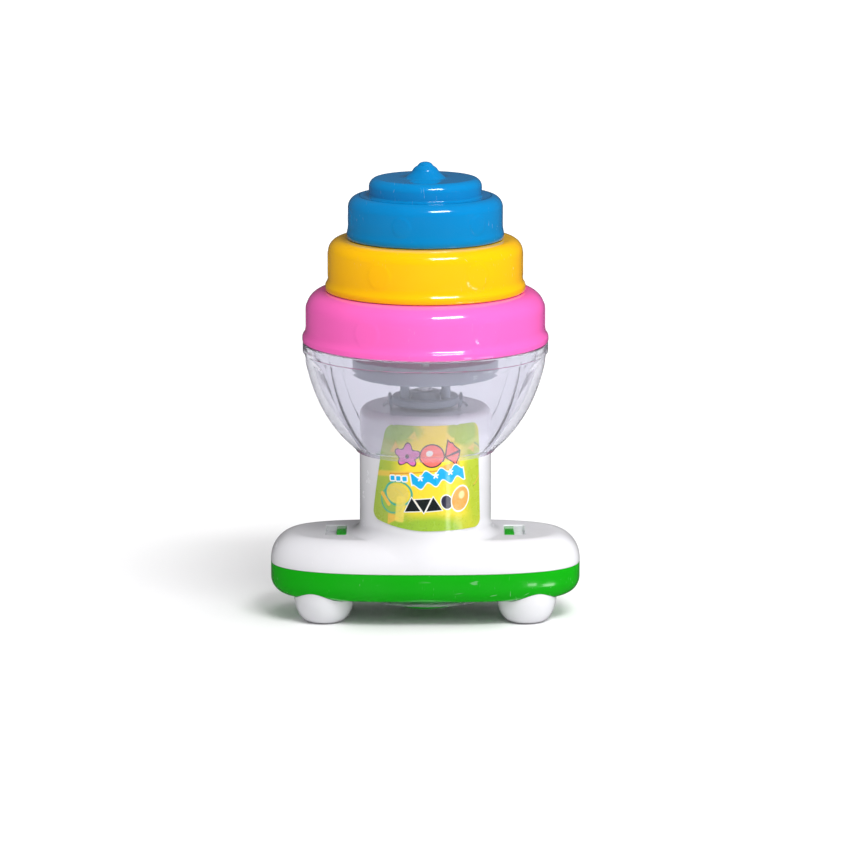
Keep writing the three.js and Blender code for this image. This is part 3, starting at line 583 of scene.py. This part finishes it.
def cover_skin(inset, deck, edge, stem_r, base, start_z, rays, rows):
    """Rows up the case from its lower edge, over the deck and the fillet, to the stem's wall.

    Each is where rays from the axis meet the rounded union of the pillow and the stem."""
    joint_z = deck + STEM_FILLET + 1.6
    lift = np.linspace(0, math.atan2(joint_z - start_z, stem_r), rays)[:, None]
    cos, sin = np.cos(lift), np.sin(lift)
    low, high = np.zeros((rays, PLAN_STEPS)), np.full((rays, PLAN_STEPS), PLAN_HALF_X + 2)
    for _ in range(HALVINGS):
        t = (low + high) / 2
        r, z = t * cos, start_z + t * sin
        side = (r - PLAN_R) * PLAN_COS + inset + edge
        up = np.abs(z - base) - (deck - base) + edge
        pillow = np.hypot(np.maximum(side, 0), np.maximum(up, 0)) + np.minimum(np.maximum(side, up), 0) - edge
        stem = r - stem_r
        u, v = np.maximum(STEM_FILLET - pillow, 0), np.maximum(STEM_FILLET - stem, 0)
        inside = np.maximum(STEM_FILLET, np.minimum(pillow, stem)) - np.hypot(u, v) < 0
        low, high = np.where(inside, t, low), np.where(inside, high, t)
    r, z = t * cos, start_z + t * sin
    steps = np.cumsum(np.hypot(np.diff(r, axis=0), np.diff(z, axis=0)), 0)
    length = np.concatenate([np.zeros((1, PLAN_STEPS)), steps])
    share = np.linspace(0, 1, rows)
    picked = np.empty((rows, PLAN_STEPS, 2))
    for j in range(PLAN_STEPS):
        at = share * length[-1, j]
        picked[:, j, 0] = np.interp(at, length[:, j], r[:, j])
        picked[:, j, 1] = np.interp(at, length[:, j], z[:, j])
    return [on_turns(ring[:, 0], ring[:, 1]) for ring in picked]


def cover():
    """White upper half of the case with the stem, one moulding, hollow, with two windows."""
    lip = SPLIT_Z + SPLIT_GAP
    start = lip + EDGE_ROUND
    stem_inner, stem_low = STEM_R - WALL, 30
    rows = [plan_row(EDGE_ROUND, lip), plan_row(EDGE_ROUND * 0.3, lip + EDGE_ROUND * 0.3)]
    rows += cover_skin(0, DECK_TOP, COVER_ROUND, STEM_R, SPLIT_Z, start, 420, 110)
    rows += [round_row(STEM_R, z) for z in np.linspace(stem_low, STEM_TOP - STEM_EDGE, 24)]
    edge = arc((STEM_R - STEM_EDGE, STEM_TOP - STEM_EDGE), STEM_EDGE, 10, 90, 8)
    rows += [round_row(r, z) for r, z in edge]
    # the stem's top, sunk a little round the bush
    rows += [round_row(r, STEM_TOP) for r in (15, 12.5, 12)]
    rows += [round_row(r, STEM_TOP - TOP_SINK) for r in (11.7, 8, BUSH_HOLE_R)]
    rows += [round_row(r, STEM_TOP - WALL) for r in (BUSH_HOLE_R, stem_inner)]
    rows.append(round_row(stem_inner, stem_low))
    inner = cover_skin(WALL, DECK_TOP - WALL, COVER_ROUND - WALL, stem_inner, SPLIT_Z, start, 200, 60)
    rows += inner[::-1] + [plan_row(WALL, lip)]
    faces = grid_faces(len(rows), PLAN_STEPS, True)
    piece = add_piece("case_cover", np.array(rows), faces, WHITE)
    for side in (-1, 1):
        cut_window(piece, side)
    return piece


def window_outline(grow=0.0):
    """The window's outline with rounded corners, counter-clockwise, as (x, y)."""
    x0, x1 = WINDOW_X[0] - grow, WINDOW_X[1] + grow
    c = WINDOW_CORNER + grow
    inner_y = WINDOW_HALF_Y + grow - c
    points = []
    for quarter, (x, y) in enumerate(
        ((x1 - c, inner_y), (x0 + c, inner_y), (x0 + c, -inner_y), (x1 - c, -inner_y))
    ):
        points += arc((x, y), c, quarter * 90, quarter * 90 + 90, 6)
    return points


def cut_window(piece, side):
    """Cuts a window with a slightly flared mouth through the deck."""
    # growth of the outline, and height over the deck
    mouth = ((0, -WALL - 2), (0, -0.25), (0.12, -0.08), (0.5, 0.3))
    rows = [[(x * side, y, DECK_TOP + over) for x, y in window_outline(grow)] for grow, over in mouth]
    columns = len(rows[0])
    faces = grid_faces(len(rows), columns, False)
    faces += [tuple(range(columns)), tuple(range((len(rows) - 1) * columns, len(rows) * columns))]
    cutter = add_piece("window_cutter", np.array(rows), faces, WHITE)
    cut = piece.modifiers.new("window", "BOOLEAN")
    cut.operation, cut.object, cut.solver = "DIFFERENCE", cutter, "EXACT"
    bpy.context.view_layer.update()
    evaluated = piece.evaluated_get(bpy.context.evaluated_depsgraph_get())
    mesh = bpy.data.meshes.new_from_object(evaluated)
    piece.modifiers.clear()
    piece.data = mesh
    bpy.data.objects.remove(cutter)
    mesh.set_sharp_from_angle(angle=math.radians(32))


def tray():
    """Green lower half of the case."""
    lip = SPLIT_Z - SPLIT_GAP
    floor = TRAY_BOTTOM + WALL
    inner_round = TRAY_ROUND - WALL
    bend = np.radians(np.linspace(0, 90, 19))
    rows = [plan_row(EDGE_ROUND, lip), plan_row(EDGE_ROUND * 0.3, lip - EDGE_ROUND * 0.3)]
    rows.append(plan_row(0, lip - EDGE_ROUND))
    for t in bend:
        rows.append(plan_row(TRAY_ROUND * (1 - math.cos(t)), TRAY_BOTTOM + TRAY_ROUND * (1 - math.sin(t))))
    rows += between(rows[-1], round_row(BUTTON_HOLE_R + 0.4, TRAY_BOTTOM), 14)
    # the hole's rounded edge
    for out, up in ((0.4, 0), (0.1, 0.1), (0, 0.4), (0, WALL)):
        rows.append(round_row(BUTTON_HOLE_R + out, TRAY_BOTTOM + up))
    inside = []
    for t in bend[::-2]:
        inset, rise = inner_round * (1 - math.cos(t)), inner_round * (1 - math.sin(t))
        inside.append(plan_row(WALL + inset, floor + rise))
    rows += between(rows[-1], inside[0], 8) + inside + [plan_row(WALL, lip)]
    faces = grid_faces(len(rows), PLAN_STEPS, True)
    return add_piece("case_tray", np.array(rows), faces, GREEN)


def underside(x, y):
    """Height of the tray's underside over a point."""
    theta = np.arctan2(y, x)
    index = (theta / PLAN_TURNS[1]) % PLAN_STEPS
    cos = np.interp(index, np.arange(PLAN_STEPS + 1), np.append(PLAN_COS, PLAN_COS[0]))
    inset = (plan_radius(theta) - np.hypot(x, y)) * cos
    reach = np.clip(TRAY_ROUND - inset, 0, TRAY_ROUND * 0.999)
    return TRAY_BOTTOM + TRAY_ROUND - np.sqrt(TRAY_ROUND**2 - reach**2)


def foot(name, x, y):
    """A white cup-shaped foot that follows the tray's rounded underside."""
    steps, rim = 128, 0.5
    profile = line((0, FOOT_HOLLOW), (FOOT_SOLE_R - 1.2, FOOT_HOLLOW), 3)
    profile += arc((FOOT_SOLE_R - 0.2, rim), rim, 200, 270, 4)
    profile += bezier(((FOOT_SOLE_R, 0), (6.5, 0.1), (7.75, 2.9), (FOOT_R, FOOT_SHOULDER_Z)), 16)
    theta = np.arange(steps) * 2 * math.pi / steps
    rows = []
    for r, z in profile:
        rows.append(np.stack([x + r * np.cos(theta), y + r * np.sin(theta), np.full(steps, z)], -1))
    for r, clearance in ((FOOT_R, 0.12), (FOOT_R - 0.5, 0.02), (3, 0.02), (0, 0.02)):
        px, py = x + r * np.cos(theta), y + r * np.sin(theta)
        rows.append(np.stack([px, py, underside(px, py) - clearance], -1))
    faces = grid_faces(len(rows), steps, False)
    return add_piece(name, np.array(rows), faces, WHITE)


def snap_hook(hand, side):
    """The tray's green hook, which shows in a window's inner half."""
    x0, x1 = sorted(x * side for x in HOOK_X)
    corners = (x0, -HOOK_HALF_Y, HOOK_Z[0]), (x1, HOOK_HALF_Y, HOOK_Z[1])
    return box_piece(f"snap_hook_{hand}", *corners, GREEN, "green_plastic")


def window_ledge(hand, side):
    """The white ledge under a window's outer half, coloured a darker white as painted shade in the recess."""
    x0, x1 = sorted(x * side for x in (HOOK_X[1] + 0.1, WINDOW_X[1] + 0.6))
    corners = (x0, -LEDGE_HALF_Y, LEDGE_Z[0]), (x1, LEDGE_HALF_Y, LEDGE_Z[1])
    return box_piece(f"window_ledge_{hand}", *corners, SHADED_WHITE, "white_plastic")


def bezel():
    """The clear dished ring round the button."""
    profile = [(BEZEL_INNER_R, 6.6), (BEZEL_INNER_R, 6.1)] + arc((12.6, 7.4), 1.5, 225, 262, 6)
    profile += [(16, BEZEL_LOW + 0.05), (18.3, BEZEL_LOW)]
    profile += arc((BEZEL_LIP_R - 0.45, BEZEL_LOW + 0.43), 0.43, -90, 10, 6)
    profile += [(BEZEL_LIP_R, 6.5), (18.5, 6.6), (16.5, 6.7)]
    return turned("bezel_ring", profile, BEZEL_CLEAR, closed=True, steps=192)


def button():
    """The green domed button with the flange that keeps it in the case."""
    flange_low, flange_high = 9.0, 9.8
    room_r, room_edge, room_middle = 8.6, 7.6, 7.4
    profile = [(0, BUTTON_LOW)] + arc((0, BUTTON_LOW + BUTTON_DOME_R), BUTTON_DOME_R, 274, 292, 8)
    profile += arc((BUTTON_R - 2.4, 5.3), 2.4, 298, 358, 8)
    profile += [(BUTTON_R, 6.3), (BUTTON_R, flange_low)]
    profile += [(BUTTON_FLANGE_R, flange_low), (BUTTON_FLANGE_R, flange_high)]
    profile += [(room_r, flange_high), (room_r, room_edge), (0, room_middle)]
    return turned("button_cap", profile, GREEN, steps=192)


def coil(name, radius, wire_r, low, high, turns, material):
    """A compression spring whose first and last turns lie flat."""
    sides, steps = 14, int(turns * 48)
    t = np.linspace(0, 1, steps + 1)
    turn = 2 * math.pi * turns * t
    climb = np.clip((t * turns - 0.7) / (turns - 1.4), 0, 1)
    z = low + wire_r + (high - low - 2 * wire_r) * climb
    around = np.arange(sides) * 2 * math.pi / sides
    r = radius + wire_r * np.cos(around)[None, :]
    x, y = r * np.cos(turn)[:, None], r * np.sin(turn)[:, None]
    points = np.stack([x, y, z[:, None] + wire_r * np.sin(around)[None, :]], -1)
    faces = grid_faces(steps + 1, sides, False)
    faces += [tuple(range(sides)), tuple(range(steps * sides, (steps + 1) * sides))]
    return add_piece(name, points, faces, material)


seat(cover(), "launcher", "handle_cover")
seat(tray(), "launcher", "handle_tray")
seat(film(), "launcher", "stem_label")
for hand, side in (("left", -1), ("right", 1)):
    seat(snap_hook(hand, side), "launcher")
    seat(window_ledge(hand, side), "launcher")
    for end, depth in (("front", -1), ("rear", 1)):
        seat(foot(f"foot_cap_{end}_{hand}", side * FOOT_X, depth * FOOT_Y), "launcher", f"foot_{end}_{hand}")
seat(bezel(), "launcher", "button_bezel").visible_shadow = False
seat(button(), "button", "release_button")

spring = coil(
    "button_coil", SPRING_R, SPRING_WIRE_R, SPRING_LOW, SPRING_HIGH, SPRING_TURNS, SPRING_STEEL
)
seat(spring, "launcher", "button_spring")
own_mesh(spring)

# ---- Bowl and what shows through it ---------------------------------------------------------------------

BOWL_CURVE = ((19.35, 46.85), (25.4, 51.8), (31.1, 60.2), (BOWL_R - 0.25, BOWL_SHOULDER))
BOWL_INNER = ((19.2, 48.4), (23.9, 52.7), (29.1, 60.7), (BOWL_R - BOWL_WALL, BOWL_SHOULDER))


def fluted(theta, r, z):
    """Ten shallow lobes between sharp upright creases, arched at the top and fading out at the neck."""
    wave = np.abs(np.cos(FLUTES / 2 * (theta + math.pi / 2)))
    crease = (1 - wave) ** 3.2
    arch = BOWL_SHOULDER - 1.2 - 3.4 * (1 - wave) ** 1.6
    above = np.clip((z - arch) / 1.0, 0, 1)
    fade = np.clip((z - BOWL_BOTTOM - 1.2) / 5, 0, 1) * np.clip((BOWL_SHOULDER + 0.4 - z) / 0.8, 0, 1)
    return r - FLUTE_DEPTH * fade * np.maximum(crease, 0.55 * above**2 * (3 - 2 * above))


def bowl():
    """Clear fluted bowl with real wall thickness, a stepped rim and a neck round the stem."""
    profile = [(BOWL_NECK_R, BOWL_BOTTOM + 0.2)]
    profile += [(BOWL_NECK_R + 0.15, BOWL_BOTTOM), (BOWL_NECK_R + 0.5, BOWL_BOTTOM)]
    profile += bezier(BOWL_CURVE, 72)
    profile += [(BOWL_R - 0.25, BOWL_SHOULDER + 0.1), (BOWL_R, BOWL_SHOULDER + 0.35)]
    profile += [(BOWL_R, BOWL_RIM - 0.2), (BOWL_R - 0.2, BOWL_RIM), (BOWL_R - BOWL_WALL, BOWL_RIM)]
    profile += bezier(BOWL_INNER, 48)[::-1] + [(BOWL_NECK_R, 47.9)]
    return turned(
        "fluted_bowl", profile, CLEAR,
        steps=FLUTES * 40, closed=True, shape=fluted, sharp=38,
    )


def catch_disc():
    """The grey plate in the bowl that the pegs turn."""
    profile = [(PLATE_HOLE_R, PLATE_LOW + 0.4)]
    profile += line((PLATE_HOLE_R, PLATE_LOW), (PLATE_R - 1.1, PLATE_LOW), 6)
    profile += arc((PLATE_R - 0.6, PLATE_LOW + 0.6), 0.6, 270, 360, 5)
    profile += arc((PLATE_R - 0.5, PLATE_TOP - 0.5), 0.5, 0, 90, 5) + [(PLATE_HOLE_R, PLATE_TOP)]
    return turned("catch_disc", profile, GREY, closed=True)


def drive_disc():
    """The drive head on the stem's top: a dished disc with a raised rim and hub."""
    dish, rim, hub = HEAD_Z + 1.1, HEAD_Z + 1.6, HEAD_Z + 3.1
    profile = [(HEAD_BORE_R, HEAD_Z), (HEAD_R - 0.6, HEAD_Z)]
    profile += arc((HEAD_R - 0.5, HEAD_Z + 0.5), 0.5, 270, 360, 4)
    profile += arc((HEAD_R - 0.45, rim), 0.45, 0, 90, 4) + arc((7.6, rim), 0.45, 90, 180, 4)
    profile += [(7.1, dish), (4.3, dish), (4.0, HEAD_Z + 1.4), (3.9, hub)]
    profile += arc((3.6, hub), 0.3, 0, 90, 3) + [(HEAD_BORE_R, hub + 0.3)]
    return turned("drive_disc", profile, GREY, closed=True)


def drive_peg(number, turn):
    """An upright peg on the drive head."""
    centre = (PEG_CIRCLE * math.cos(math.radians(turn)), PEG_CIRCLE * math.sin(math.radians(turn)))
    low = HEAD_Z + 1.05
    profile = [(0, low), (PEG_R, low), (PEG_R, PEG_TOP - 0.4), (PEG_R - 0.2, PEG_TOP - 0.05), (0, PEG_TOP)]
    return turned(f"drive_peg_{number}", profile, GREY, steps=48, centre=centre)


def spindle_rod():
    """The steel shaft, with a groove for its clip and a rounded end."""
    groove_r = ROD_R - 0.5
    profile = [(0, ROD_LOW), (ROD_R - 0.4, ROD_LOW), (ROD_R, ROD_LOW + 0.4)]
    low, high = ROD_GROOVE
    profile += [(ROD_R, low), (groove_r, low), (groove_r, high), (ROD_R, high)]
    profile += [(ROD_R, ROD_TOP - 1)] + arc((ROD_R - 1, ROD_TOP - 1), 1.0, 0, 90, 6) + [(0, ROD_TOP)]
    return turned("spindle_rod", profile, STEEL, steps=64)


seat(bowl(), "top", "clear_dome").visible_shadow = False  # clear plastic lets the light through to the stem
seat(catch_disc(), "top", "catch_plate")
seat(drive_disc(), "spindle", "drive_head")
for number, turn in ((1, 90), (2, 210), (3, 330)):
    seat(drive_peg(number, turn), "spindle")
seat(spindle_rod(), "spindle", "spindle_shaft")

# ---- Tiers ----------------------------------------------------------------------------------------------

PIPS = 6
TIERS = {
    "pink": dict(
        brim=33.6, wall=32.55, bottom=76.5, top=90.45, shoulder=5.2, pip=4.1, pip_z=82.9, pip_turn=31
    ),
    "yellow": dict(
        brim=27.3, wall=26.5, bottom=90.55, top=104.65, shoulder=3.6, pip=3.8, pip_z=97.6, pip_turn=32
    ),
    "blue": dict(
        brim=21.4, wall=21.05, bottom=104.75, top=116.4, shoulder=3.2, pip=2.9, pip_z=110.4, pip_turn=-18
    ),
}
PIP_HEIGHT = 0.12
PIP_EDGE = 0.7
TIER_HOLE_R, TIER_STEPS = 2.0, 480
STEP_R, STEP_TOP, STEP_ROUND = 15.35, 121.2, 2.4
TIP_TOP = 125.5


def tier_outside(t):
    """From the lower edge up the brim, the flare and the wall, and over the shoulder."""
    brim, wall, bottom, top, shoulder = (t[k] for k in ("brim", "wall", "bottom", "top", "shoulder"))
    out = arc((brim - 0.4, bottom + 0.4), 0.4, -90, 0, 5) + [(brim, bottom + 1.0)]
    flare = (brim, bottom + 1.15), (brim - 0.05, bottom + 2.2), (wall, bottom + 2.0), (wall, bottom + 4.2)
    out += bezier(flare, 14)
    out += line((wall, bottom + 4.2), (wall, top - shoulder), 24)[1:]
    return out + arc((wall - shoulder, top - shoulder), shoulder, 0, 90, 18)[1:]


def tier_inside(t):
    """From under the roof down the inner wall."""
    r, bottom, top = t["wall"] - WALL, t["bottom"], t["top"]
    return [(r - 2, top - WALL), (r, top - WALL - 2), (r, bottom)]


def pipped(t):
    """Six very shallow round pips, evenly spaced round the wall."""

    def shape(theta, r, z):
        pitch = 2 * math.pi / PIPS
        turn = theta + math.pi / 2 - math.radians(t["pip_turn"])
        off = (turn - pitch / 2) % pitch - pitch / 2
        reach = np.hypot(off * t["wall"], z - t["pip_z"])
        raised = np.clip((t["pip"] - reach) / PIP_EDGE, 0, 1)
        on_wall = r > t["wall"] - 0.3
        return r + np.where(on_wall, PIP_HEIGHT * raised**2 * (3 - 2 * raised), 0)

    return shape


def tier(name, material):
    """A plain tier: a cup with a hole in its roof for the tie screw."""
    t = TIERS[name]
    profile = tier_outside(t) + [(TIER_HOLE_R, t["top"]), (TIER_HOLE_R, t["top"] - WALL)] + tier_inside(t)
    return turned(
        f"{name}_cup", profile, material, steps=TIER_STEPS, closed=True, shape=pipped(t)
    )


def blue_cup():
    """The blue moulding: a tier, a smaller step on it and the conical spin tip."""
    t = TIERS["blue"]
    neck = STEP_R + 0.6
    out = tier_outside(t) + line((18, t["top"]), (neck, t["top"]), 3)
    out += arc((neck, t["top"] + 0.6), 0.6, 270, 180, 5)[1:] + [(STEP_R, STEP_TOP - STEP_ROUND)]
    out += arc((STEP_R - STEP_ROUND, STEP_TOP - STEP_ROUND), STEP_ROUND, 0, 90, 14)[1:]
    out += [(8, STEP_TOP), (5.75, STEP_TOP)]
    # the tip's foot, its shoulder and its rounded end
    out += bezier(((5.6, STEP_TOP + 0.05), (4.6, 122.1), (3.9, 122.6), (3.35, 123.4)), 10)
    out += bezier(((3.25, 123.6), (2.7, 124.2), (2.35, 124.3), (2.1, 124.5)), 8)
    out += bezier(((1.95, 124.7), (1.6, 125.3), (0.9, TIP_TOP), (0, TIP_TOP)), 10)
    inside = [(0, STEP_TOP - WALL), (STEP_R - WALL, STEP_TOP - WALL), (STEP_R - WALL, t["top"] - WALL)]
    # the profile's two ends on the axis are joined by a line along it, which closes the shell
    profile = out + inside + tier_inside(t)
    return turned("blue_cup", profile, BLUE, steps=TIER_STEPS, closed=True, shape=pipped(t))


seat(tier("pink", PINK), "top", "pink_tier")
seat(tier("yellow", YELLOW), "top", "yellow_tier")
seat(blue_cup(), "top", "blue_tier")

# ---- Finishes of the carried-over CAD nodes -------------------------------------------------------------

NODE_FINISH = {
    "bearing_bridge": GREY, "lower_bush": GREY, "upper_bush": GREY, "ratchet_wheel": GREY,
    "latch_lever": SHADED_WHITE, "latch_pin": STEEL, "retaining_clip": STEEL, "tie_screw": STEEL,
    "winding_spring": SPRING_STEEL, "button_spring": SPRING_STEEL, "latch_spring": SPRING_STEEL,
    "case_screw_left": STEEL, "case_screw_right": STEEL, "bridge_screw_left": STEEL,
    "bridge_screw_right": STEEL, "plate_screw_1": STEEL, "plate_screw_2": STEEL, "plate_screw_3": STEEL,
}
for name, material in NODE_FINISH.items():
    for material_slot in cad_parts[name].material_slots:
        material_slot.material = material

# ---- Studio ---------------------------------------------------------------------------------------------


FLOOR_HALF = 6.0
# the far floor glows a little, so that it meets the white surround: strength, and distances in metres
FLOOR_GLOW, GLOW_FROM, GLOW_TO = 0.4, 0.09, 0.7
OVERHEAD_POWER, OVERHEAD_SPREAD = 1.35, 75
# the white surround's strength for each kind of ray
BACKDROP_LEVEL, SURROUND_LEVEL, MIRRORED_LEVEL, THROUGH_LEVEL = 1.0, 0.44, 0.06, 0.88
# name, turn, lift, distance, width, height, power and whether gloss mirrors it
SOFTBOXES = (
    ("key_softbox", 28, 52, 0.8, 0.34, 0.14, 3.6, True),
    ("right_softbox", 66, 10, 0.9, 0.2, 0.25, 0.7, False),
)
# name, turn, width and heights in metres of the bright strips that upright gloss mirrors, seen from above
MIRRORED_CARDS = (
    ("label_card", 39.5, 0.10, -0.17, -0.105),
    ("tray_card", 58.0, 0.22, -0.22, -0.15),
)
CARD_DISTANCE, CARD_STRENGTH = 0.8, 7.0


def floor_material():
    """Pale matt paper that glows a little far away."""
    s = Surface("studio_floor")
    grain = s.ramp(s.noise(900, 3), 0.3, 0.7, 0, 1)
    s.link(s.mix(grain, (0.96, 0.96, 0.965), (0.975, 0.975, 0.98)), s.shader.inputs["Base Color"])
    s.set(Roughness=0.8, Specular_IOR_Level=0.2, Emission_Color=(1, 1, 1, 1))
    away = s.node("ShaderNodeVectorMath", operation="LENGTH")
    s.link(s.object_space, away.inputs[0])
    glow = s.ramp(Value(s.tree, away.outputs["Value"]), GLOW_FROM, GLOW_TO, 0.0, FLOOR_GLOW)
    s.link(glow, s.shader.inputs["Emission Strength"])
    return s.material


def flat_sheet(name, corners, material):
    """A four-cornered sheet of the studio."""
    mesh = bpy.data.meshes.new(name)
    mesh.from_pydata(corners, [], [(0, 1, 2, 3)])
    mesh.materials.append(material)
    sheet = bpy.data.objects.new(name, mesh)
    bpy.context.scene.collection.objects.link(sheet)
    return sheet


def mirrored_card(name, turn, width, low, high):
    """An upright glowing strip that shows only as a reflection."""
    s = Surface(name)
    s.set(Emission_Color=(1, 1, 1, 1), Emission_Strength=CARD_STRENGTH)
    s.material.cycles.emission_sampling = "NONE"
    half = width / 2
    card = flat_sheet(name, [(-half, 0, low), (half, 0, low), (half, 0, high), (-half, 0, high)], s.material)
    t = math.radians(turn)
    card.location = (CARD_DISTANCE * math.sin(t), -CARD_DISTANCE * math.cos(t), 0)
    card.rotation_euler = (0, 0, t)
    card.visible_camera = card.visible_diffuse = card.visible_transmission = card.visible_shadow = False


def add_lamp(name, light, mirrored):
    lamp = bpy.data.objects.new(name, light)
    lamp.visible_glossy = mirrored
    bpy.context.scene.collection.objects.link(lamp)
    return lamp


def look_from(seen, aim, away, distance):
    """Puts an object on a line from the aim and points its -Z axis at the aim."""
    seen.location = aim + away * distance
    seen.rotation_euler = (-away).to_track_quat("-Z", "Y").to_euler()


def softbox(name, turn, lift, distance, width, height, power, mirrored):
    """A rectangular area light."""
    light = bpy.data.lights.new(name, "AREA")
    light.shape, light.size, light.size_y, light.energy = "RECTANGLE", width, height, power
    t, e = math.radians(turn), math.radians(lift)
    away = Vector((math.sin(t) * math.cos(e), -math.cos(t) * math.cos(e), math.sin(e)))
    look_from(add_lamp(name, light, mirrored), Vector((0, 0, 0.06)), away, distance)


def surround():
    """A white world, which each kind of ray meets at its own strength."""
    world = bpy.data.worlds.new("studio_world")
    world.use_nodes = True
    tree = world.node_tree
    background = tree.nodes["Background"]
    background.inputs["Color"].default_value = (1, 1, 1, 1)
    ray = tree.nodes.new("ShaderNodeLightPath")
    level = Value(tree, ray.outputs["Is Camera Ray"]) * (BACKDROP_LEVEL - SURROUND_LEVEL) + SURROUND_LEVEL
    for kind, strength in (("Is Glossy Ray", MIRRORED_LEVEL), ("Is Transmission Ray", THROUGH_LEVEL)):
        level = level + Value(tree, ray.outputs[kind]) * (strength - SURROUND_LEVEL)
    tree.links.new(level.socket, background.inputs["Strength"])
    world.cycles.sampling_method = "NONE"  # so that each kind of ray meets its own level
    bpy.context.scene.world = world


def studio():
    """A plain pale floor under a white surround, a softbox at the right and a soft light from above."""
    half = FLOOR_HALF
    corners = [(-half, -half, 0), (half, -half, 0), (half, half, 0), (-half, half, 0)]
    floor = flat_sheet("studio_floor", corners, floor_material())
    floor.visible_glossy = False
    surround()
    for row in SOFTBOXES:
        softbox(*row)
    for row in MIRRORED_CARDS:
        mirrored_card(*row)
    sun = bpy.data.lights.new("overhead", "SUN")
    sun.energy, sun.angle = OVERHEAD_POWER, math.radians(OVERHEAD_SPREAD)
    # from above, a little from the front and more from the right
    add_lamp("overhead", sun, False).rotation_euler = (math.radians(12), math.radians(25), 0)


def camera():
    """A long lens straight at the front, about eleven degrees above the level."""
    lens, distance, lift = 185.5, 1.2, 11.2
    data = bpy.data.cameras.new("photo_camera")
    data.lens, data.sensor_width, data.clip_start = lens, 36.0, 0.01
    seen = bpy.data.objects.new("photo_camera", data)
    e = math.radians(lift)
    look_from(seen, Vector((-0.0001, 0, 0.0528)), Vector((0, -math.cos(e), math.sin(e))), distance)
    bpy.context.scene.collection.objects.link(seen)
    bpy.context.scene.camera = seen


studio()
camera()
bpy.context.scene.view_settings.view_transform = "Standard"
bpy.context.scene.view_settings.look = "None"
